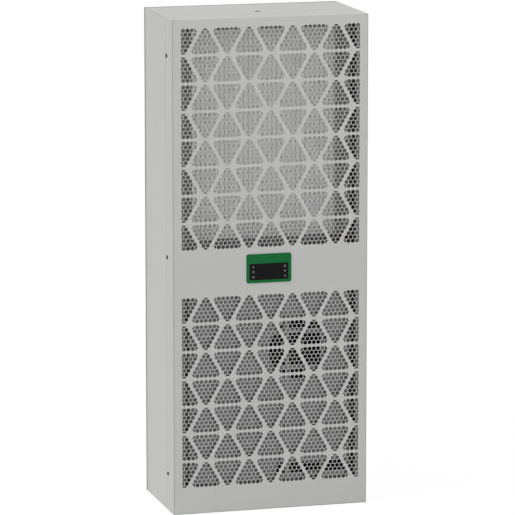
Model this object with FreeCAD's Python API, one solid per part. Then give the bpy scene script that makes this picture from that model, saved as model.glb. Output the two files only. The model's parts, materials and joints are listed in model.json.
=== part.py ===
"""Slim enclosure air conditioner for the outside of a cabinet door, in millimetres.

+X is the viewer's right, the grilles face -Y and +Z is up. The origin is at the middle of the base.
"""
import FreeCAD, Part
import math
import os

V = FreeCAD.Vector

# Casing
WIDTH = 400.0
HEIGHT = 990.0
DEPTH = 225.0
SHEET = 1.5
COVER_DEPTH = 53.0
COVER_BEND = 2.5
SEAM = 1.0
GASKET_THICK = 8.0
GASKET_WIDTH = 18.0
TONGUE_REACH = 21.0
TONGUE_JOGGLE = 4.0
TONGUE_END = 16.0
EDGE_GAP = 0.5
EDGE_GAP_END = 40.0
RELIEF_RADIUS = 1.2
COVER_SEAL_SIDE = 10.0
COVER_SEAL_WIDTH = 14.0
COVER_SEAL_THICK = 4.0
COVER_SEAL_END = 12.0
SLIP = 0.2
LIP_HEIGHT = 13.0

# Perforated grilles
HOLE_PITCH = 8.91
HOLE_RADIUS = 4.1
FIELD_ROWS = 7
BASE_GAP = 12.7
TIP_GAP = 5.7
GRILLE_SIDE_MARGIN = 17.0
GRILLE_TOP_MARGIN = 15.25
UPPER_GRILLE_BOTTOM = 529.0
LOWER_GRILLE_BOTTOM = 50.0
LOWER_GRILLE_TOP = 439.95

# Cover screws
SCREW_RADIUS = 2.0
SCREW_HEAD_RADIUS = 4.0
SCREW_HEAD_HEIGHT = 1.8
SCREW_LENGTH = 9.0
SCREW_FROM_SEAM = 8.0
SCREW_FROM_BOTTOM = 74.7
SCREW_FROM_TOP = 75.0
SCREW_RISE = 18.6
SCREW_REACH = 12.0

# Lifting nut and mounting nuts
LIFT_NUT_RADIUS = 7.0
LIFT_NUT_LENGTH = 12.0
LIFT_THREAD_RADIUS = 3.4
LIFT_FLANGE_RADIUS = 10.0
LIFT_NUT_Y = -12.0
MOUNT_INSET_X = 30.0
MOUNT_INSET_Z = 60.0
MOUNT_THREAD_RADIUS = 2.5
MOUNT_NUT_RADIUS = 4.5
MOUNT_NUT_LENGTH = 14.0
MOUNT_FLANGE_RADIUS = 8.0
NUT_FLANGE = 1.5

# Display
BEZEL_WIDTH = 92.0
BEZEL_HEIGHT = 58.0
BEZEL_THICK = 1.5
BEZEL_CORNER = 4.0
BEZEL_X = -4.4
BEZEL_Z = 490.5
WINDOW_WIDTH = 80.0
WINDOW_HEIGHT = 33.0
WINDOW_CORNER = 1.5
WINDOW_PROUD = 0.2
WINDOW_DROP = 6.75
CONTROLLER_WIDTH = 70.6
CONTROLLER_HEIGHT = 28.6
CONTROLLER_DEPTH = 58.0
CLIP_THICK = 4.0
CLIP_DEPTH = 26.0
CLIP_HEIGHT = 20.0

# Condenser coil
COIL_SIDE = 53.0
COIL_DEPTH = 44.0
COIL_BOTTOM = 543.0
COIL_TOP_MARGIN = 28.0
COIL_SETBACK = 55.0
FIN_PITCH = 9.77
FIN_GAP = 2.2
FIN_GROOVE = 3.0
TUBE_RADIUS = 4.8
COIL_TUBES = 7
COIL_TUBE_MARGIN = 25.0
TUBE_STUB = 10.0
SHEET_LAP = 2.0
BAFFLE_INSET = 1.5
FACE_SIDE = 22.0
COIL_SEAL_WIDTH = 15.0
COIL_SEAL_THICK = 3.0

# Fan plate, fan and guard grid
FAN_PLATE_SETBACK = 14.0
FAN_PLATE_SIDE = 35.0
FAN_PLATE_TOP = 441.0
FAN_PLATE_BOTTOM = 30.0
FAN_PLATE_STEP = 12.0
FAN_PLATE_LEDGE = 7.0
FAN_BRIM_SIDE = 8.0
FAN_PLATE_FOOT = 15.0
DIVIDER_GAP = 3.0
DIVIDER_SIDE = 37.0
SLOT_LEFT = 16.0
SLOT_END = 4.0
SLOT_BOTTOM = 68.3
SLOT_TOP = 88.3
FAN_X = 61.6
FAN_Z = 320.8
FAN_SIZE = 130.0
FAN_DEPTH = 38.0
FAN_BORE = 62.0
FAN_FLANGE = 5.0
FAN_WALL = 2.5
FAN_HOLE_SPACING = 115.0
FAN_TIP_GAP = 2.0
FAN_HUB_RADIUS = 23.0
FAN_HUB_LENGTH = 27.0
FAN_HUB_WALL = 3.0
FAN_BLADES = 7
BLADE_ROOT_ANGLE = 52.0
BLADE_TIP_ANGLE = 32.0
BLADE_AXIAL_HALF = 10.0
FAN_SHAFT_RADIUS = 2.5
RUNNING_GAP = 0.05
STATOR_RADIUS = 17.0
STRUT_WIDTH = 7.0
STRUT_THICK = 4.0
GRID_PITCH = 73.8
GRID_BAR = 8.0
GRID_THICK = 2.0
GRID_FIRST_Z = 62.5
GRID_COLUMNS = 4
GRID_ROWS = 5
GRID_END = 6.0

# Bulkhead, shelf and foam
RISER_SPACE = 29.65
SHELF_BOTTOM = 300.0
FOAM_THICK = 4.0
FOAM_SIDE = 60.0
FOAM_BOTTOM = 560.0
FOAM_TOP_MARGIN = 20.0

# Compressor
COMPRESSOR_X = 80.0
COMPRESSOR_SHIFT = 0.6
SHELL_RADIUS = 58.0
SHELL_HEIGHT = 195.0
SHELL_TOP_ROUND = 30.0
SHELL_FOOT_ROUND = 18.0
FOOT_CIRCLE = 62.0
FOOT_LOBE = 10.0
FOOT_THICK = 3.0
GROMMET_RADIUS = 9.0
GROMMET_HEIGHT = 14.0
FOOT_BOLT_RADIUS = 3.0
FOOT_BOLT_HEAD = 5.5
FOOT_BOLT_HEAD_HEIGHT = 5.0
ACCUMULATOR_RADIUS = 24.0
ACCUMULATOR_BOTTOM = 48.0
ACCUMULATOR_TOP = 190.0
ACCUMULATOR_ROUND = 12.0
ACCUMULATOR_GAP = 4.0
TERMINAL_RADIUS = 16.0
TERMINAL_HEIGHT = 18.0
TERMINAL_OFFSET = -10.0
DISCHARGE_OFFSET = 18.0
DISCHARGE_STUB = 8.0

# Evaporator and its fan
EVAP_SIDE = 50.0
EVAP_FRONT_GAP = 7.5
EVAP_BACK_GAP = 5.85
EVAP_BOTTOM = 470.0
EVAP_TOP = 540.0
EVAP_TUBE_INSET_Y = 16.0
EVAP_TUBE_INSET_Z = 18.0
INLET_DROP = 200.0
INLET_RADIUS = 75.0
THROAT_RADIUS = 47.5
RING_LENGTH = 15.0
RING_WALL = 2.0
RING_FLANGE = 90.0
IMPELLER_RADIUS = 85.0
IMPELLER_FRONT_GAP = 2.0
MOTOR_DEPTH = 22.35
IMPELLER_PLATE = 2.0
IMPELLER_EYE = 48.5
IMPELLER_BLADES = 7
BLADE_INNER = 50.0
BLADE_THICK = 2.0
BLADE_LEAN_ANGLE = 35.0
IMPELLER_HUB_RADIUS = 22.0
IMPELLER_HUB_LENGTH = 18.0
IMPELLER_SHAFT_RADIUS = 4.0
MOTOR_BASE_RADIUS = 45.0
MOTOR_BASE_THICK = 6.0
MOTOR_CORE_RADIUS = 32.0
MOTOR_GAP = 2.0
OUTLET_HALF_WIDTH = 125.0
OUTLET_BOTTOM = 330.0
OUTLET_TOP = 420.0

# Drain
TRAY_SIDE = 35.0
TRAY_FRONT_GAP = 5.5
TRAY_BACK_GAP = 3.85
TRAY_HEIGHT = 16.0
SPOUT_SIDE = 50.0
SPOUT_SHIFT = -2.0
SPOUT_RADIUS = 6.0
SPOUT_BORE = 4.5
SPOUT_LENGTH = 16.0
HOSE_RADIUS = 8.5
NIPPLE_LENGTH = 32.0
NIPPLE_FLANGE = 13.0
NIPPLE_FLANGE_THICK = 3.0
FIT = 0.1

# Refrigerant lines
BEND = 13.0
DISCHARGE_SIDE = 22.0
DISCHARGE_GAP = 10.65
DISCHARGE_Z = 250.0
LINE_RADIUS = 4.0
SUCTION_RADIUS = 6.0
SUCTION_SIDE = 12.0
SUCTION_Z = 280.0
DRIER_SIDE = 24.0
DRIER_RADIUS = 11.0
DRIER_TOP = 530.0
DRIER_LENGTH = 75.0
DRIER_NECK = 10.0
VALVE_RADIUS = 12.0
VALVE_HEIGHT = 26.0
VALVE_CAP_RADIUS = 13.0
VALVE_CAP_LENGTH = 6.0
VALVE_NECK = 1.0
LINE_PASS_Z = 385.0
PASS_CLEARANCE = 2.0

# Electrical pieces
BOX_SIDE = 50.0
BOX_WIDTH = 98.0
BOX_FRONT_GAP = 17.05
BOX_DEPTH = 58.0
BOX_HEIGHT = 98.0
TERMINAL_BLOCK_WIDTH = 70.0
TERMINAL_BLOCK_HEIGHT = 22.0
TERMINAL_BLOCK_DEPTH = 20.0
TERMINAL_BLOCK_RISE = 68.0
TERMINAL_POLES = 6
CAPACITOR_RADIUS = 17.0
CAPACITOR_LENGTH = 55.0
CAPACITOR_INSET = 26.0
CLAMP_WIDTH = 14.0
CLAMP_THICK = 2.0
SOCKET_X = -110.0
SOCKET_Z = 200.0
SOCKET_WIDTH = 56.0
SOCKET_HEIGHT = 26.0
SOCKET_LENGTH = 34.0
SOCKET_FLANGE = 5.0
SOCKET_FLANGE_THICK = 2.0
SOCKET_WALL = 4.0
SOCKET_RECESS = 16.0

# Planes and places that follow from the sizes above
PROUD = BEZEL_THICK + WINDOW_PROUD
Y_FRONT = -(DEPTH - PROUD) / 2
Y_BACK = Y_FRONT + DEPTH
Y_REAR = Y_BACK - GASKET_THICK
Y_REAR_IN = Y_REAR - SHEET
Y_SEAM = Y_FRONT + COVER_DEPTH
Y_CHASSIS = Y_SEAM + SEAM
HALF = WIDTH / 2
HALF_IN = HALF - SHEET
FLOOR = SHEET
TOP_IN = HEIGHT - SHEET
MID_Z = HEIGHT / 2
Y_PLATE = Y_FRONT + FAN_PLATE_SETBACK
Y_PLATE_BACK = Y_PLATE + SHEET
Y_FRAME = Y_CHASSIS + SHEET
Y_FRAME_BACK = Y_FRAME + SHEET
FAN_PLATE_HALF = HALF - FAN_PLATE_SIDE
Y_STEP = Y_PLATE + FAN_PLATE_STEP
STEP_HALF = FAN_PLATE_HALF + FAN_PLATE_LEDGE
FAN_BRIM_HALF = HALF - FAN_BRIM_SIDE
FACE_HALF = HALF - FACE_SIDE
SLOT_RIGHT = FAN_PLATE_HALF - SLOT_END
Y_COIL = Y_FRONT + COIL_SETBACK
Y_COIL_BACK = Y_COIL + COIL_DEPTH
COIL_HALF = HALF - COIL_SIDE
COIL_TOP = HEIGHT - COIL_TOP_MARGIN
COIL_TUBE_Y = Y_COIL + COIL_DEPTH / 2
BULKHEAD_FRONT = Y_COIL_BACK + RISER_SPACE
BULKHEAD_BACK = BULKHEAD_FRONT + SHEET
SHELF_TOP = SHELF_BOTTOM + SHEET
FOAM_HALF = HALF - FOAM_SIDE
FOAM_TOP = HEIGHT - FOAM_TOP_MARGIN
EVAP_HALF = HALF - EVAP_SIDE
EVAP_FRONT = BULKHEAD_BACK + EVAP_FRONT_GAP
EVAP_BACK = Y_REAR_IN - EVAP_BACK_GAP
INLET_Z = HEIGHT - INLET_DROP
RING_FRONT = Y_REAR_IN - RING_LENGTH
IMPELLER_FRONT = RING_FRONT - IMPELLER_FRONT_GAP
IMPELLER_BACK = BULKHEAD_BACK + MOTOR_DEPTH
COMPRESSOR_Y = (Y_FRAME_BACK + Y_REAR_IN) / 2 + COMPRESSOR_SHIFT
FOOT_Z = FLOOR + GROMMET_HEIGHT
SHELL_Z = FOOT_Z + FOOT_THICK
SHELL_TOP = SHELL_Z + SHELL_HEIGHT
ACCUMULATOR_X = COMPRESSOR_X - SHELL_RADIUS - ACCUMULATOR_GAP - ACCUMULATOR_RADIUS
TRAY_HALF = HALF - TRAY_SIDE
TRAY_FRONT = BULKHEAD_BACK + TRAY_FRONT_GAP
TRAY_BACK = Y_REAR_IN - TRAY_BACK_GAP
SPOUT_X = -HALF + SPOUT_SIDE
SPOUT_Y = (TRAY_FRONT + TRAY_BACK) / 2 + SPOUT_SHIFT
DISCHARGE_X = -HALF + DISCHARGE_SIDE
DISCHARGE_Y = Y_COIL_BACK + DISCHARGE_GAP
SUCTION_X = HALF - SUCTION_SIDE
DRIER_X = HALF - DRIER_SIDE
BOX_LEFT = -HALF + BOX_SIDE
BOX_FRONT = Y_FRAME_BACK + BOX_FRONT_GAP
WINDOW_Z = BEZEL_Z - WINDOW_DROP
ROW_PITCH = HOLE_PITCH * math.sqrt(3) / 2
FIELD_HEIGHT = (FIELD_ROWS - 1) * ROW_PITCH
GRILLE_ROW = FIELD_HEIGHT + (BASE_GAP + TIP_GAP) / 2
FIELD_STEP = HOLE_PITCH * (FIELD_ROWS + 3) / 2
FIELD_PERIODS = int((HALF - GRILLE_SIDE_MARGIN - HOLE_RADIUS) // FIELD_STEP)
GRILLE_HALF = FIELD_PERIODS * FIELD_STEP
UPPER_GRILLE_TOP = HEIGHT - GRILLE_TOP_MARGIN
UPPER_GRILLE_ROWS = int((UPPER_GRILLE_TOP - UPPER_GRILLE_BOTTOM) // GRILLE_ROW)
LOWER_GRILLE_ROWS = int((LOWER_GRILLE_TOP - LOWER_GRILLE_BOTTOM) // GRILLE_ROW)
X_AXIS = V(1, 0, 0)
Y_AXIS = V(0, 1, 0)
Z_AXIS = V(0, 0, 1)


def block(x0, x1, y0, y1, z0, z1):
    return Part.makeBox(x1 - x0, y1 - y0, z1 - z0, V(x0, y0, z0))


def rod(radius, start, length, axis):
    return Part.makeCylinder(radius, length, V(*start), axis)


def pipe(outer, inner, start, length, axis):
    return rod(outer, start, length, axis).cut(rod(inner, start, length, axis))


def prism(points, direction):
    return push(Part.Face(Part.makePolygon([V(*p) for p in points + points[:1]])), direction)


def push(face, direction):
    """Extrude a face into a solid whose faces point outwards."""
    solid = face.extrude(direction)
    if solid.Volume < 0:
        solid.reverse()
    return solid


def round_edges(shape, radius, axis, chosen=lambda edge: True):
    """Fillet the straight edges that run along one axis."""
    edges = []
    for edge in shape.Edges:
        if edge.Curve.TypeId != "Part::GeomLine":
            continue
        along = (edge.Vertexes[1].Point - edge.Vertexes[0].Point).normalize()
        if abs(abs(along.dot(axis)) - 1) < 1e-6 and chosen(edge):
            edges.append(edge)
    return shape.makeFillet(radius, edges)


def round_rims(shape, radius, height):
    """Fillet the circular edges of a turned shape at one height."""
    rims = [e for e in shape.Edges if e.Closed and abs(e.CenterOfMass.z - height) < 1e-6]
    return shape.makeFillet(radius, rims)


def bent_tube(points, radius, bend=BEND):
    """A round bar along straight runs joined by tangent arcs."""
    corners = [V(*p) for p in points]
    edges = []
    start = corners[0]
    for before, corner, after in zip(corners, corners[1:], corners[2:]):
        back = (before - corner).normalize()
        ahead = (after - corner).normalize()
        half_angle = back.getAngle(ahead) / 2
        reach = bend / math.tan(half_angle)
        first = corner + back * reach
        last = corner + ahead * reach
        middle_line = (back + ahead).normalize()
        middle = corner + middle_line * (bend / math.sin(half_angle) - bend)
        edges.append(Part.LineSegment(start, first).toShape())
        edges.append(Part.Arc(first, middle, last).toShape())
        start = last
    edges.append(Part.LineSegment(start, corners[-1]).toShape())
    path = Part.Wire(edges)
    profile = Part.Wire(Part.makeCircle(radius, corners[0], corners[1] - corners[0]))
    return path.makePipeShell([profile], True, False)


def u_bend(end, radius, turn, outward):
    """A half turn of tube that starts at one tube end and comes back at the end offset by turn."""
    start = V(*end)
    offset = V(*turn)
    crown = start + offset * 0.5 + outward * (offset.Length / 2)
    arc = Part.Wire(Part.Arc(start, crown, start + offset).toShape())
    profile = Part.Wire(Part.makeCircle(radius, start, outward))
    return arc.makePipeShell([profile], True, False)


def save(node, *solids):
    shape = solids[0] if len(solids) == 1 else Part.makeCompound(list(solids))
    shape.exportStep(f"parts/{node}.step")


def field_outline(centre_x, tip_z, base_z):
    """Truncated triangle round one field of holes: its corners cut the three corner holes in half."""
    half_base = (FIELD_ROWS - 1) * HOLE_PITCH / 2
    corners = [V(centre_x - half_base, 0, base_z), V(centre_x + half_base, 0, base_z), V(centre_x, 0, tip_z)]
    reach = HOLE_RADIUS / math.sin(math.radians(60))
    outline = []
    for i, corner in enumerate(corners):
        nxt = corners[(i + 1) % 3]
        prev = corners[(i + 2) % 3]
        along = (nxt - prev).normalize()
        outline.append(corner - along * reach)
        outline.append(corner + along * reach)
    return [(p.x, Y_FRONT - SHEET, p.z) for p in outline]


def grille_windows(top, rows):
    """Prisms through the front sheet, one for each triangular field of a grille."""
    reach = GRILLE_HALF + HOLE_RADIUS
    limit = block(-reach, reach, Y_FRONT - 9, Y_FRONT + 9, 0, HEIGHT)
    windows = []
    for row in range(rows):
        row_top = top - row * GRILLE_ROW
        row_bottom = row_top - GRILLE_ROW
        for column in range(2 * FIELD_PERIODS + 1):
            centre = -GRILLE_HALF + column * FIELD_STEP
            if (row + column) % 2 == 0:
                outline = field_outline(centre, row_bottom + TIP_GAP / 2, row_top - BASE_GAP / 2)
            else:
                outline = field_outline(centre, row_top - TIP_GAP / 2, row_bottom + BASE_GAP / 2)
            window = prism(outline, V(0, 3 * SHEET, 0))
            edge_column = column in (0, 2 * FIELD_PERIODS)
            windows.append(window.common(limit) if edge_column else window)
    return windows


def screw_places():
    y = Y_SEAM - SCREW_FROM_SEAM
    heights = (SCREW_FROM_BOTTOM, MID_Z + SCREW_RISE, HEIGHT - SCREW_FROM_TOP)
    return [(side, y, z) for side in (-1, 1) for z in heights]


def screw_hole(side, y, z, radius):
    return rod(radius, (side * (HALF + 1), y, z), SCREW_REACH, X_AXIS * -side)


def front_cover():
    """Folded cover: a punched front sheet, and the flanges turned back along its sides and ends."""
    pan = block(-HALF, HALF, Y_FRONT, Y_SEAM, 0, HEIGHT)

    def on_front(edge):
        return edge.CenterOfMass.y < Y_FRONT + 1e-6

    pan = round_edges(pan, COVER_BEND, Z_AXIS, on_front)
    pan = pan.cut(block(-HALF_IN, HALF_IN, Y_FRONT + SHEET, Y_SEAM + 1, SHEET, TOP_IN))
    cuts = grille_windows(UPPER_GRILLE_TOP, UPPER_GRILLE_ROWS)
    cuts += grille_windows(LOWER_GRILLE_TOP, LOWER_GRILLE_ROWS)
    half_w = CONTROLLER_WIDTH / 2 + SLIP
    half_h = CONTROLLER_HEIGHT / 2 + SLIP
    cuts.append(block(BEZEL_X - half_w, BEZEL_X + half_w, Y_FRONT - 1, Y_FRONT + 3,
                      WINDOW_Z - half_h, WINDOW_Z + half_h))
    for place in screw_places():
        cuts.append(screw_hole(*place, SCREW_RADIUS + FIT).common(
            block(-HALF - 2, HALF + 2, Y_FRONT, Y_SEAM, 0, HEIGHT)))
    pan = pan.cut(Part.makeCompound(cuts))
    inside = Y_FRONT + SHEET
    sides = [block(x, x + SHEET, inside, Y_SEAM, 0, HEIGHT) for x in (-HALF, HALF_IN)]
    ends = [block(-HALF_IN, HALF_IN, inside, Y_SEAM, z, z + SHEET) for z in (0, TOP_IN)]
    save("front_cover", pan.common(block(-HALF, HALF, Y_FRONT, inside, 0, HEIGHT)))
    save("cover_side_flanges", *[pan.common(side) for side in sides])
    save("cover_end_flanges", *[pan.common(end) for end in ends])


def joggled_outline(outer, side):
    """Section of a panel whose front edge steps in to lie under the cover's flange."""
    inner = outer - side * SHEET
    tongue_out = inner - side * SLIP
    tongue_in = tongue_out - side * SHEET
    front = Y_SEAM - TONGUE_REACH
    step = Y_CHASSIS + SHEET
    return [(outer, Y_CHASSIS), (outer, Y_REAR_IN), (inner, Y_REAR_IN), (inner, step + TONGUE_JOGGLE),
            (tongue_in, step), (tongue_in, front), (tongue_out, front), (tongue_out, Y_CHASSIS)]


def side_panels():
    for side, node in ((-1, "left_side_panel"), (1, "right_side_panel")):
        outline = [(x, y, 0) for x, y in joggled_outline(side * HALF, side)]
        panel = prism(outline, V(0, 0, TOP_IN))
        tongue_end = Y_CHASSIS + SHEET + TONGUE_JOGGLE
        for z in (0, HEIGHT - TONGUE_END):
            panel = panel.cut(block(-HALF_IN, HALF_IN, Y_FRONT, tongue_end, z, z + TONGUE_END))
        cuts = [screw_hole(*place, SCREW_RADIUS + FIT / 2) for place in screw_places() if place[0] == side]
        gap_end = Y_REAR - EDGE_GAP_END
        cuts.append(block(-HALF - 1, HALF + 1, Y_FRONT, gap_end, TOP_IN - EDGE_GAP, TOP_IN + 1))
        cuts.append(rod(RELIEF_RADIUS, (-HALF - 1, gap_end, TOP_IN - EDGE_GAP), WIDTH + 2, X_AXIS))
        save(node, panel.cut(Part.makeCompound(cuts)))


def top_panel():
    outline = [(-HALF, y, z) for z, y in joggled_outline(HEIGHT, 1)]
    panel = prism(outline, V(WIDTH, 0, 0))
    for side in (-1, 1):
        edge = sorted((side * (HALF_IN - TONGUE_END), side * (HALF + 1)))
        panel = panel.cut(block(*edge, Y_FRONT, Y_REAR, 0, TOP_IN))
    panel = panel.cut(rod(LIFT_NUT_RADIUS + FIT / 2, (0, LIFT_NUT_Y, HEIGHT - 5), 10, Z_AXIS))
    save("top_panel", panel)


def base_pan():
    half = HALF_IN - SLIP
    back = Y_REAR_IN - SLIP
    floor = block(-half, half, Y_CHASSIS, back, 0, FLOOR)
    for y in (Y_CHASSIS, back - SHEET):
        floor = floor.fuse(block(-half, half, y, y + SHEET, 0, FLOOR + LIP_HEIGHT))
    floor = floor.cut(rod(SPOUT_RADIUS + FIT, (SPOUT_X, SPOUT_Y, -1), FLOOR + 2, Z_AXIS))
    save("base_pan", floor.removeSplitter())


def mount_places():
    x = HALF - MOUNT_INSET_X
    z = MID_Z - MOUNT_INSET_Z
    return [(sx * x, MID_Z + sz * z) for sx in (-1, 1) for sz in (-1, 0, 1)]


def rear_panel():
    panel = block(-HALF, HALF, Y_REAR_IN, Y_REAR, 0, HEIGHT)
    y = Y_REAR_IN - 1
    cuts = [rod(INLET_RADIUS, (0, y, INLET_Z), 4, Y_AXIS)]
    cuts.append(block(-OUTLET_HALF_WIDTH, OUTLET_HALF_WIDTH, y, Y_REAR + 1, OUTLET_BOTTOM, OUTLET_TOP))
    half_w = SOCKET_WIDTH / 2 + SLIP
    half_h = SOCKET_HEIGHT / 2 + SLIP
    cuts.append(block(SOCKET_X - half_w, SOCKET_X + half_w, y, Y_REAR + 1,
                      SOCKET_Z - half_h, SOCKET_Z + half_h))
    for x, z in mount_places():
        cuts.append(rod(MOUNT_NUT_RADIUS + FIT / 2, (x, y, z), 4, Y_AXIS))
    save("rear_panel", panel.cut(Part.makeCompound(cuts)))


def rear_gasket():
    high = HEIGHT - GASKET_WIDTH
    strips = [block(-HALF, HALF, Y_REAR, Y_BACK, 0, GASKET_WIDTH),
              block(-HALF, HALF, Y_REAR, Y_BACK, high, HEIGHT)]
    for x in (-HALF, HALF - GASKET_WIDTH):
        strips.append(block(x, x + GASKET_WIDTH, Y_REAR, Y_BACK, GASKET_WIDTH, high))
    save("rear_gasket", *strips)


def cover_seals():
    """Foam strips inside the cover, along both of its upright edges."""
    front = Y_FRONT + SHEET
    outer = HALF - COVER_SEAL_SIDE
    top = HEIGHT - COVER_SEAL_END
    strips = []
    for side in (-1, 1):
        x0, x1 = sorted((side * outer, side * (outer - COVER_SEAL_WIDTH)))
        strips.append(block(x0, x1, front, front + COVER_SEAL_THICK, COVER_SEAL_END, top))
    save("cover_seals", *strips)


def cover_screws():
    screws = []
    for side, y, z in screw_places():
        head = rod(SCREW_HEAD_RADIUS, (side * HALF, y, z), SCREW_HEAD_HEIGHT, X_AXIS * side)
        rim = [e for e in head.Edges if e.Closed and abs(e.CenterOfMass.x) > HALF + 1e-3]
        head = head.makeFillet(SCREW_HEAD_HEIGHT * 0.6, rim)
        shank = rod(SCREW_RADIUS, (side * (HALF - SCREW_LENGTH), y, z), SCREW_LENGTH, X_AXIS * side)
        screws.append(head.fuse(shank))
    save("cover_screws", *screws)


def nuts():
    lift = rod(LIFT_NUT_RADIUS, (0, LIFT_NUT_Y, HEIGHT - LIFT_NUT_LENGTH), LIFT_NUT_LENGTH, Z_AXIS)
    lift = lift.fuse(rod(LIFT_FLANGE_RADIUS, (0, LIFT_NUT_Y, TOP_IN - NUT_FLANGE), NUT_FLANGE, Z_AXIS))
    thread = rod(LIFT_THREAD_RADIUS, (0, LIFT_NUT_Y, HEIGHT - LIFT_NUT_LENGTH), LIFT_NUT_LENGTH, Z_AXIS)
    save("lifting_nut", lift.cut(thread))
    mounts = []
    for x, z in mount_places():
        start = (x, Y_REAR - MOUNT_NUT_LENGTH, z)
        nut = rod(MOUNT_NUT_RADIUS, start, MOUNT_NUT_LENGTH, Y_AXIS)
        nut = nut.fuse(rod(MOUNT_FLANGE_RADIUS, (x, Y_REAR_IN - NUT_FLANGE, z), NUT_FLANGE, Y_AXIS))
        mounts.append(nut.cut(rod(MOUNT_THREAD_RADIUS, start, MOUNT_NUT_LENGTH, Y_AXIS)))
    save("mounting_nuts", *mounts)


def display():
    plate_y = Y_FRONT - BEZEL_THICK

    def centred(width, height, x, z, y0, y1):
        return block(x - width / 2, x + width / 2, y0, y1, z - height / 2, z + height / 2)

    bezel = centred(BEZEL_WIDTH, BEZEL_HEIGHT, BEZEL_X, BEZEL_Z, plate_y, Y_FRONT)
    bezel = round_edges(bezel, BEZEL_CORNER, Y_AXIS)
    opening = centred(WINDOW_WIDTH + SLIP, WINDOW_HEIGHT + SLIP, BEZEL_X, WINDOW_Z, plate_y - 1, Y_FRONT + 1)
    save("display_bezel", bezel.cut(round_edges(opening, WINDOW_CORNER, Y_AXIS)))
    window = centred(WINDOW_WIDTH, WINDOW_HEIGHT, BEZEL_X, WINDOW_Z, plate_y - WINDOW_PROUD, Y_FRONT)
    save("display_window", round_edges(window, WINDOW_CORNER, Y_AXIS))
    body = centred(CONTROLLER_WIDTH, CONTROLLER_HEIGHT, BEZEL_X, WINDOW_Z,
                   Y_FRONT, Y_FRONT + CONTROLLER_DEPTH)
    save("controller_body", round_edges(body, WINDOW_CORNER, Y_AXIS))
    clips = []
    inside = Y_FRONT + SHEET
    for side in (-1, 1):
        x = BEZEL_X + side * (CONTROLLER_WIDTH / 2 + FIT)
        spans = sorted((x, x + side * CLIP_THICK))
        foot_spans = sorted((x, x + side * 2 * CLIP_THICK))
        z = (WINDOW_Z - CLIP_HEIGHT / 2, WINDOW_Z + CLIP_HEIGHT / 2)
        arm = block(*spans, inside, inside + CLIP_DEPTH, *z)
        clips.append(arm.fuse(block(*foot_spans, inside, inside + CLIP_THICK, *z)).removeSplitter())
    save("controller_clips", *clips)


def fin_block(x_half, front, back, bottom, top, groove_axis):
    """Block of fins with grooves in its two faces that the air goes through."""
    body = block(-x_half, x_half, front, back, bottom, top)
    cuts = []
    count = int((2 * x_half - FIN_GAP) // FIN_PITCH)
    first = -(count - 1) * FIN_PITCH / 2
    for i in range(count):
        x0 = first + i * FIN_PITCH - FIN_GAP / 2
        x1 = x0 + FIN_GAP
        if groove_axis == "z":
            cuts.append(block(x0, x1, front - 1, front + FIN_GROOVE, bottom - 1, top + 1))
            cuts.append(block(x0, x1, back - FIN_GROOVE, back + 1, bottom - 1, top + 1))
        else:
            cuts.append(block(x0, x1, front - 1, back + 1, bottom - 1, bottom + FIN_GROOVE))
            cuts.append(block(x0, x1, front - 1, back + 1, top - FIN_GROOVE, top + 1))
    return body.cut(Part.makeCompound(cuts))


def coil_tube_heights():
    step = (COIL_TOP - COIL_BOTTOM - 2 * COIL_TUBE_MARGIN) / (COIL_TUBES - 1)
    return [COIL_TOP - COIL_TUBE_MARGIN - i * step for i in range(COIL_TUBES)]


def condenser():
    save("condenser_fins", fin_block(COIL_HALF, Y_COIL, Y_COIL_BACK, COIL_BOTTOM, COIL_TOP, "z"))
    outer = COIL_HALF + SHEET
    low = COIL_BOTTOM - SHEET_LAP
    high = COIL_TOP + SHEET_LAP
    back = Y_COIL_BACK + SHEET
    for side, node in ((-1, "condenser_left_tube_sheet"), (1, "condenser_right_tube_sheet")):
        x0, x1 = sorted((side * COIL_HALF, side * outer))
        save(node, block(x0, x1, Y_COIL - SHEET_LAP, back, low, high))
    heights = coil_tube_heights()
    tubes = []
    for i, (z, below) in enumerate(zip(heights, heights[1:])):
        side = 1 if i % 2 == 0 else -1
        tubes.append(u_bend((side * outer, COIL_TUBE_Y, z), TUBE_RADIUS, (0, 0, below - z), X_AXIS * side))
    tubes.append(rod(TUBE_RADIUS, (-outer - TUBE_STUB, COIL_TUBE_Y, heights[0]), TUBE_STUB, X_AXIS))
    tubes.append(rod(TUBE_RADIUS, (outer, COIL_TUBE_Y, heights[-1]), TUBE_STUB, X_AXIS))
    save("condenser_tubes", *tubes)
    wall = HALF_IN - SLIP
    front = back - BAFFLE_INSET
    sides = []
    faces = []
    seals = []
    for side in (-1, 1):
        x0, x1 = sorted((side * outer, side * wall))
        strip = block(x0, x1, front, back, low, high)
        sides.append(strip)
        edge = Y_COIL - SHEET_LAP
        x0, x1 = sorted((side * outer, side * FACE_HALF))
        faces.append(block(x0, x1, edge, edge + SHEET, low, high))
        x0, x1 = sorted((side * outer, side * (outer + COIL_SEAL_WIDTH)))
        seals.append(block(x0, x1, edge - COIL_SEAL_THICK, edge, low, high))
    inlet = rod(TUBE_RADIUS + PASS_CLEARANCE, (DISCHARGE_X, front - 1, heights[0]), 4, Y_AXIS)
    sides[0] = sides[0].cut(inlet)
    top = block(-wall, wall, front, back, high, TOP_IN - SLIP)
    nut_space = HEIGHT - LIFT_NUT_LENGTH - PASS_CLEARANCE
    top = top.cut(rod(LIFT_FLANGE_RADIUS + PASS_CLEARANCE, (0, LIFT_NUT_Y, nut_space),
                      LIFT_NUT_LENGTH + PASS_CLEARANCE, Z_AXIS))
    bottom = block(-wall, wall, front, back, FAN_PLATE_TOP, low)
    save("condenser_baffles", *sides, *faces, top, bottom)
    save("coil_seals", *seals)


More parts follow.
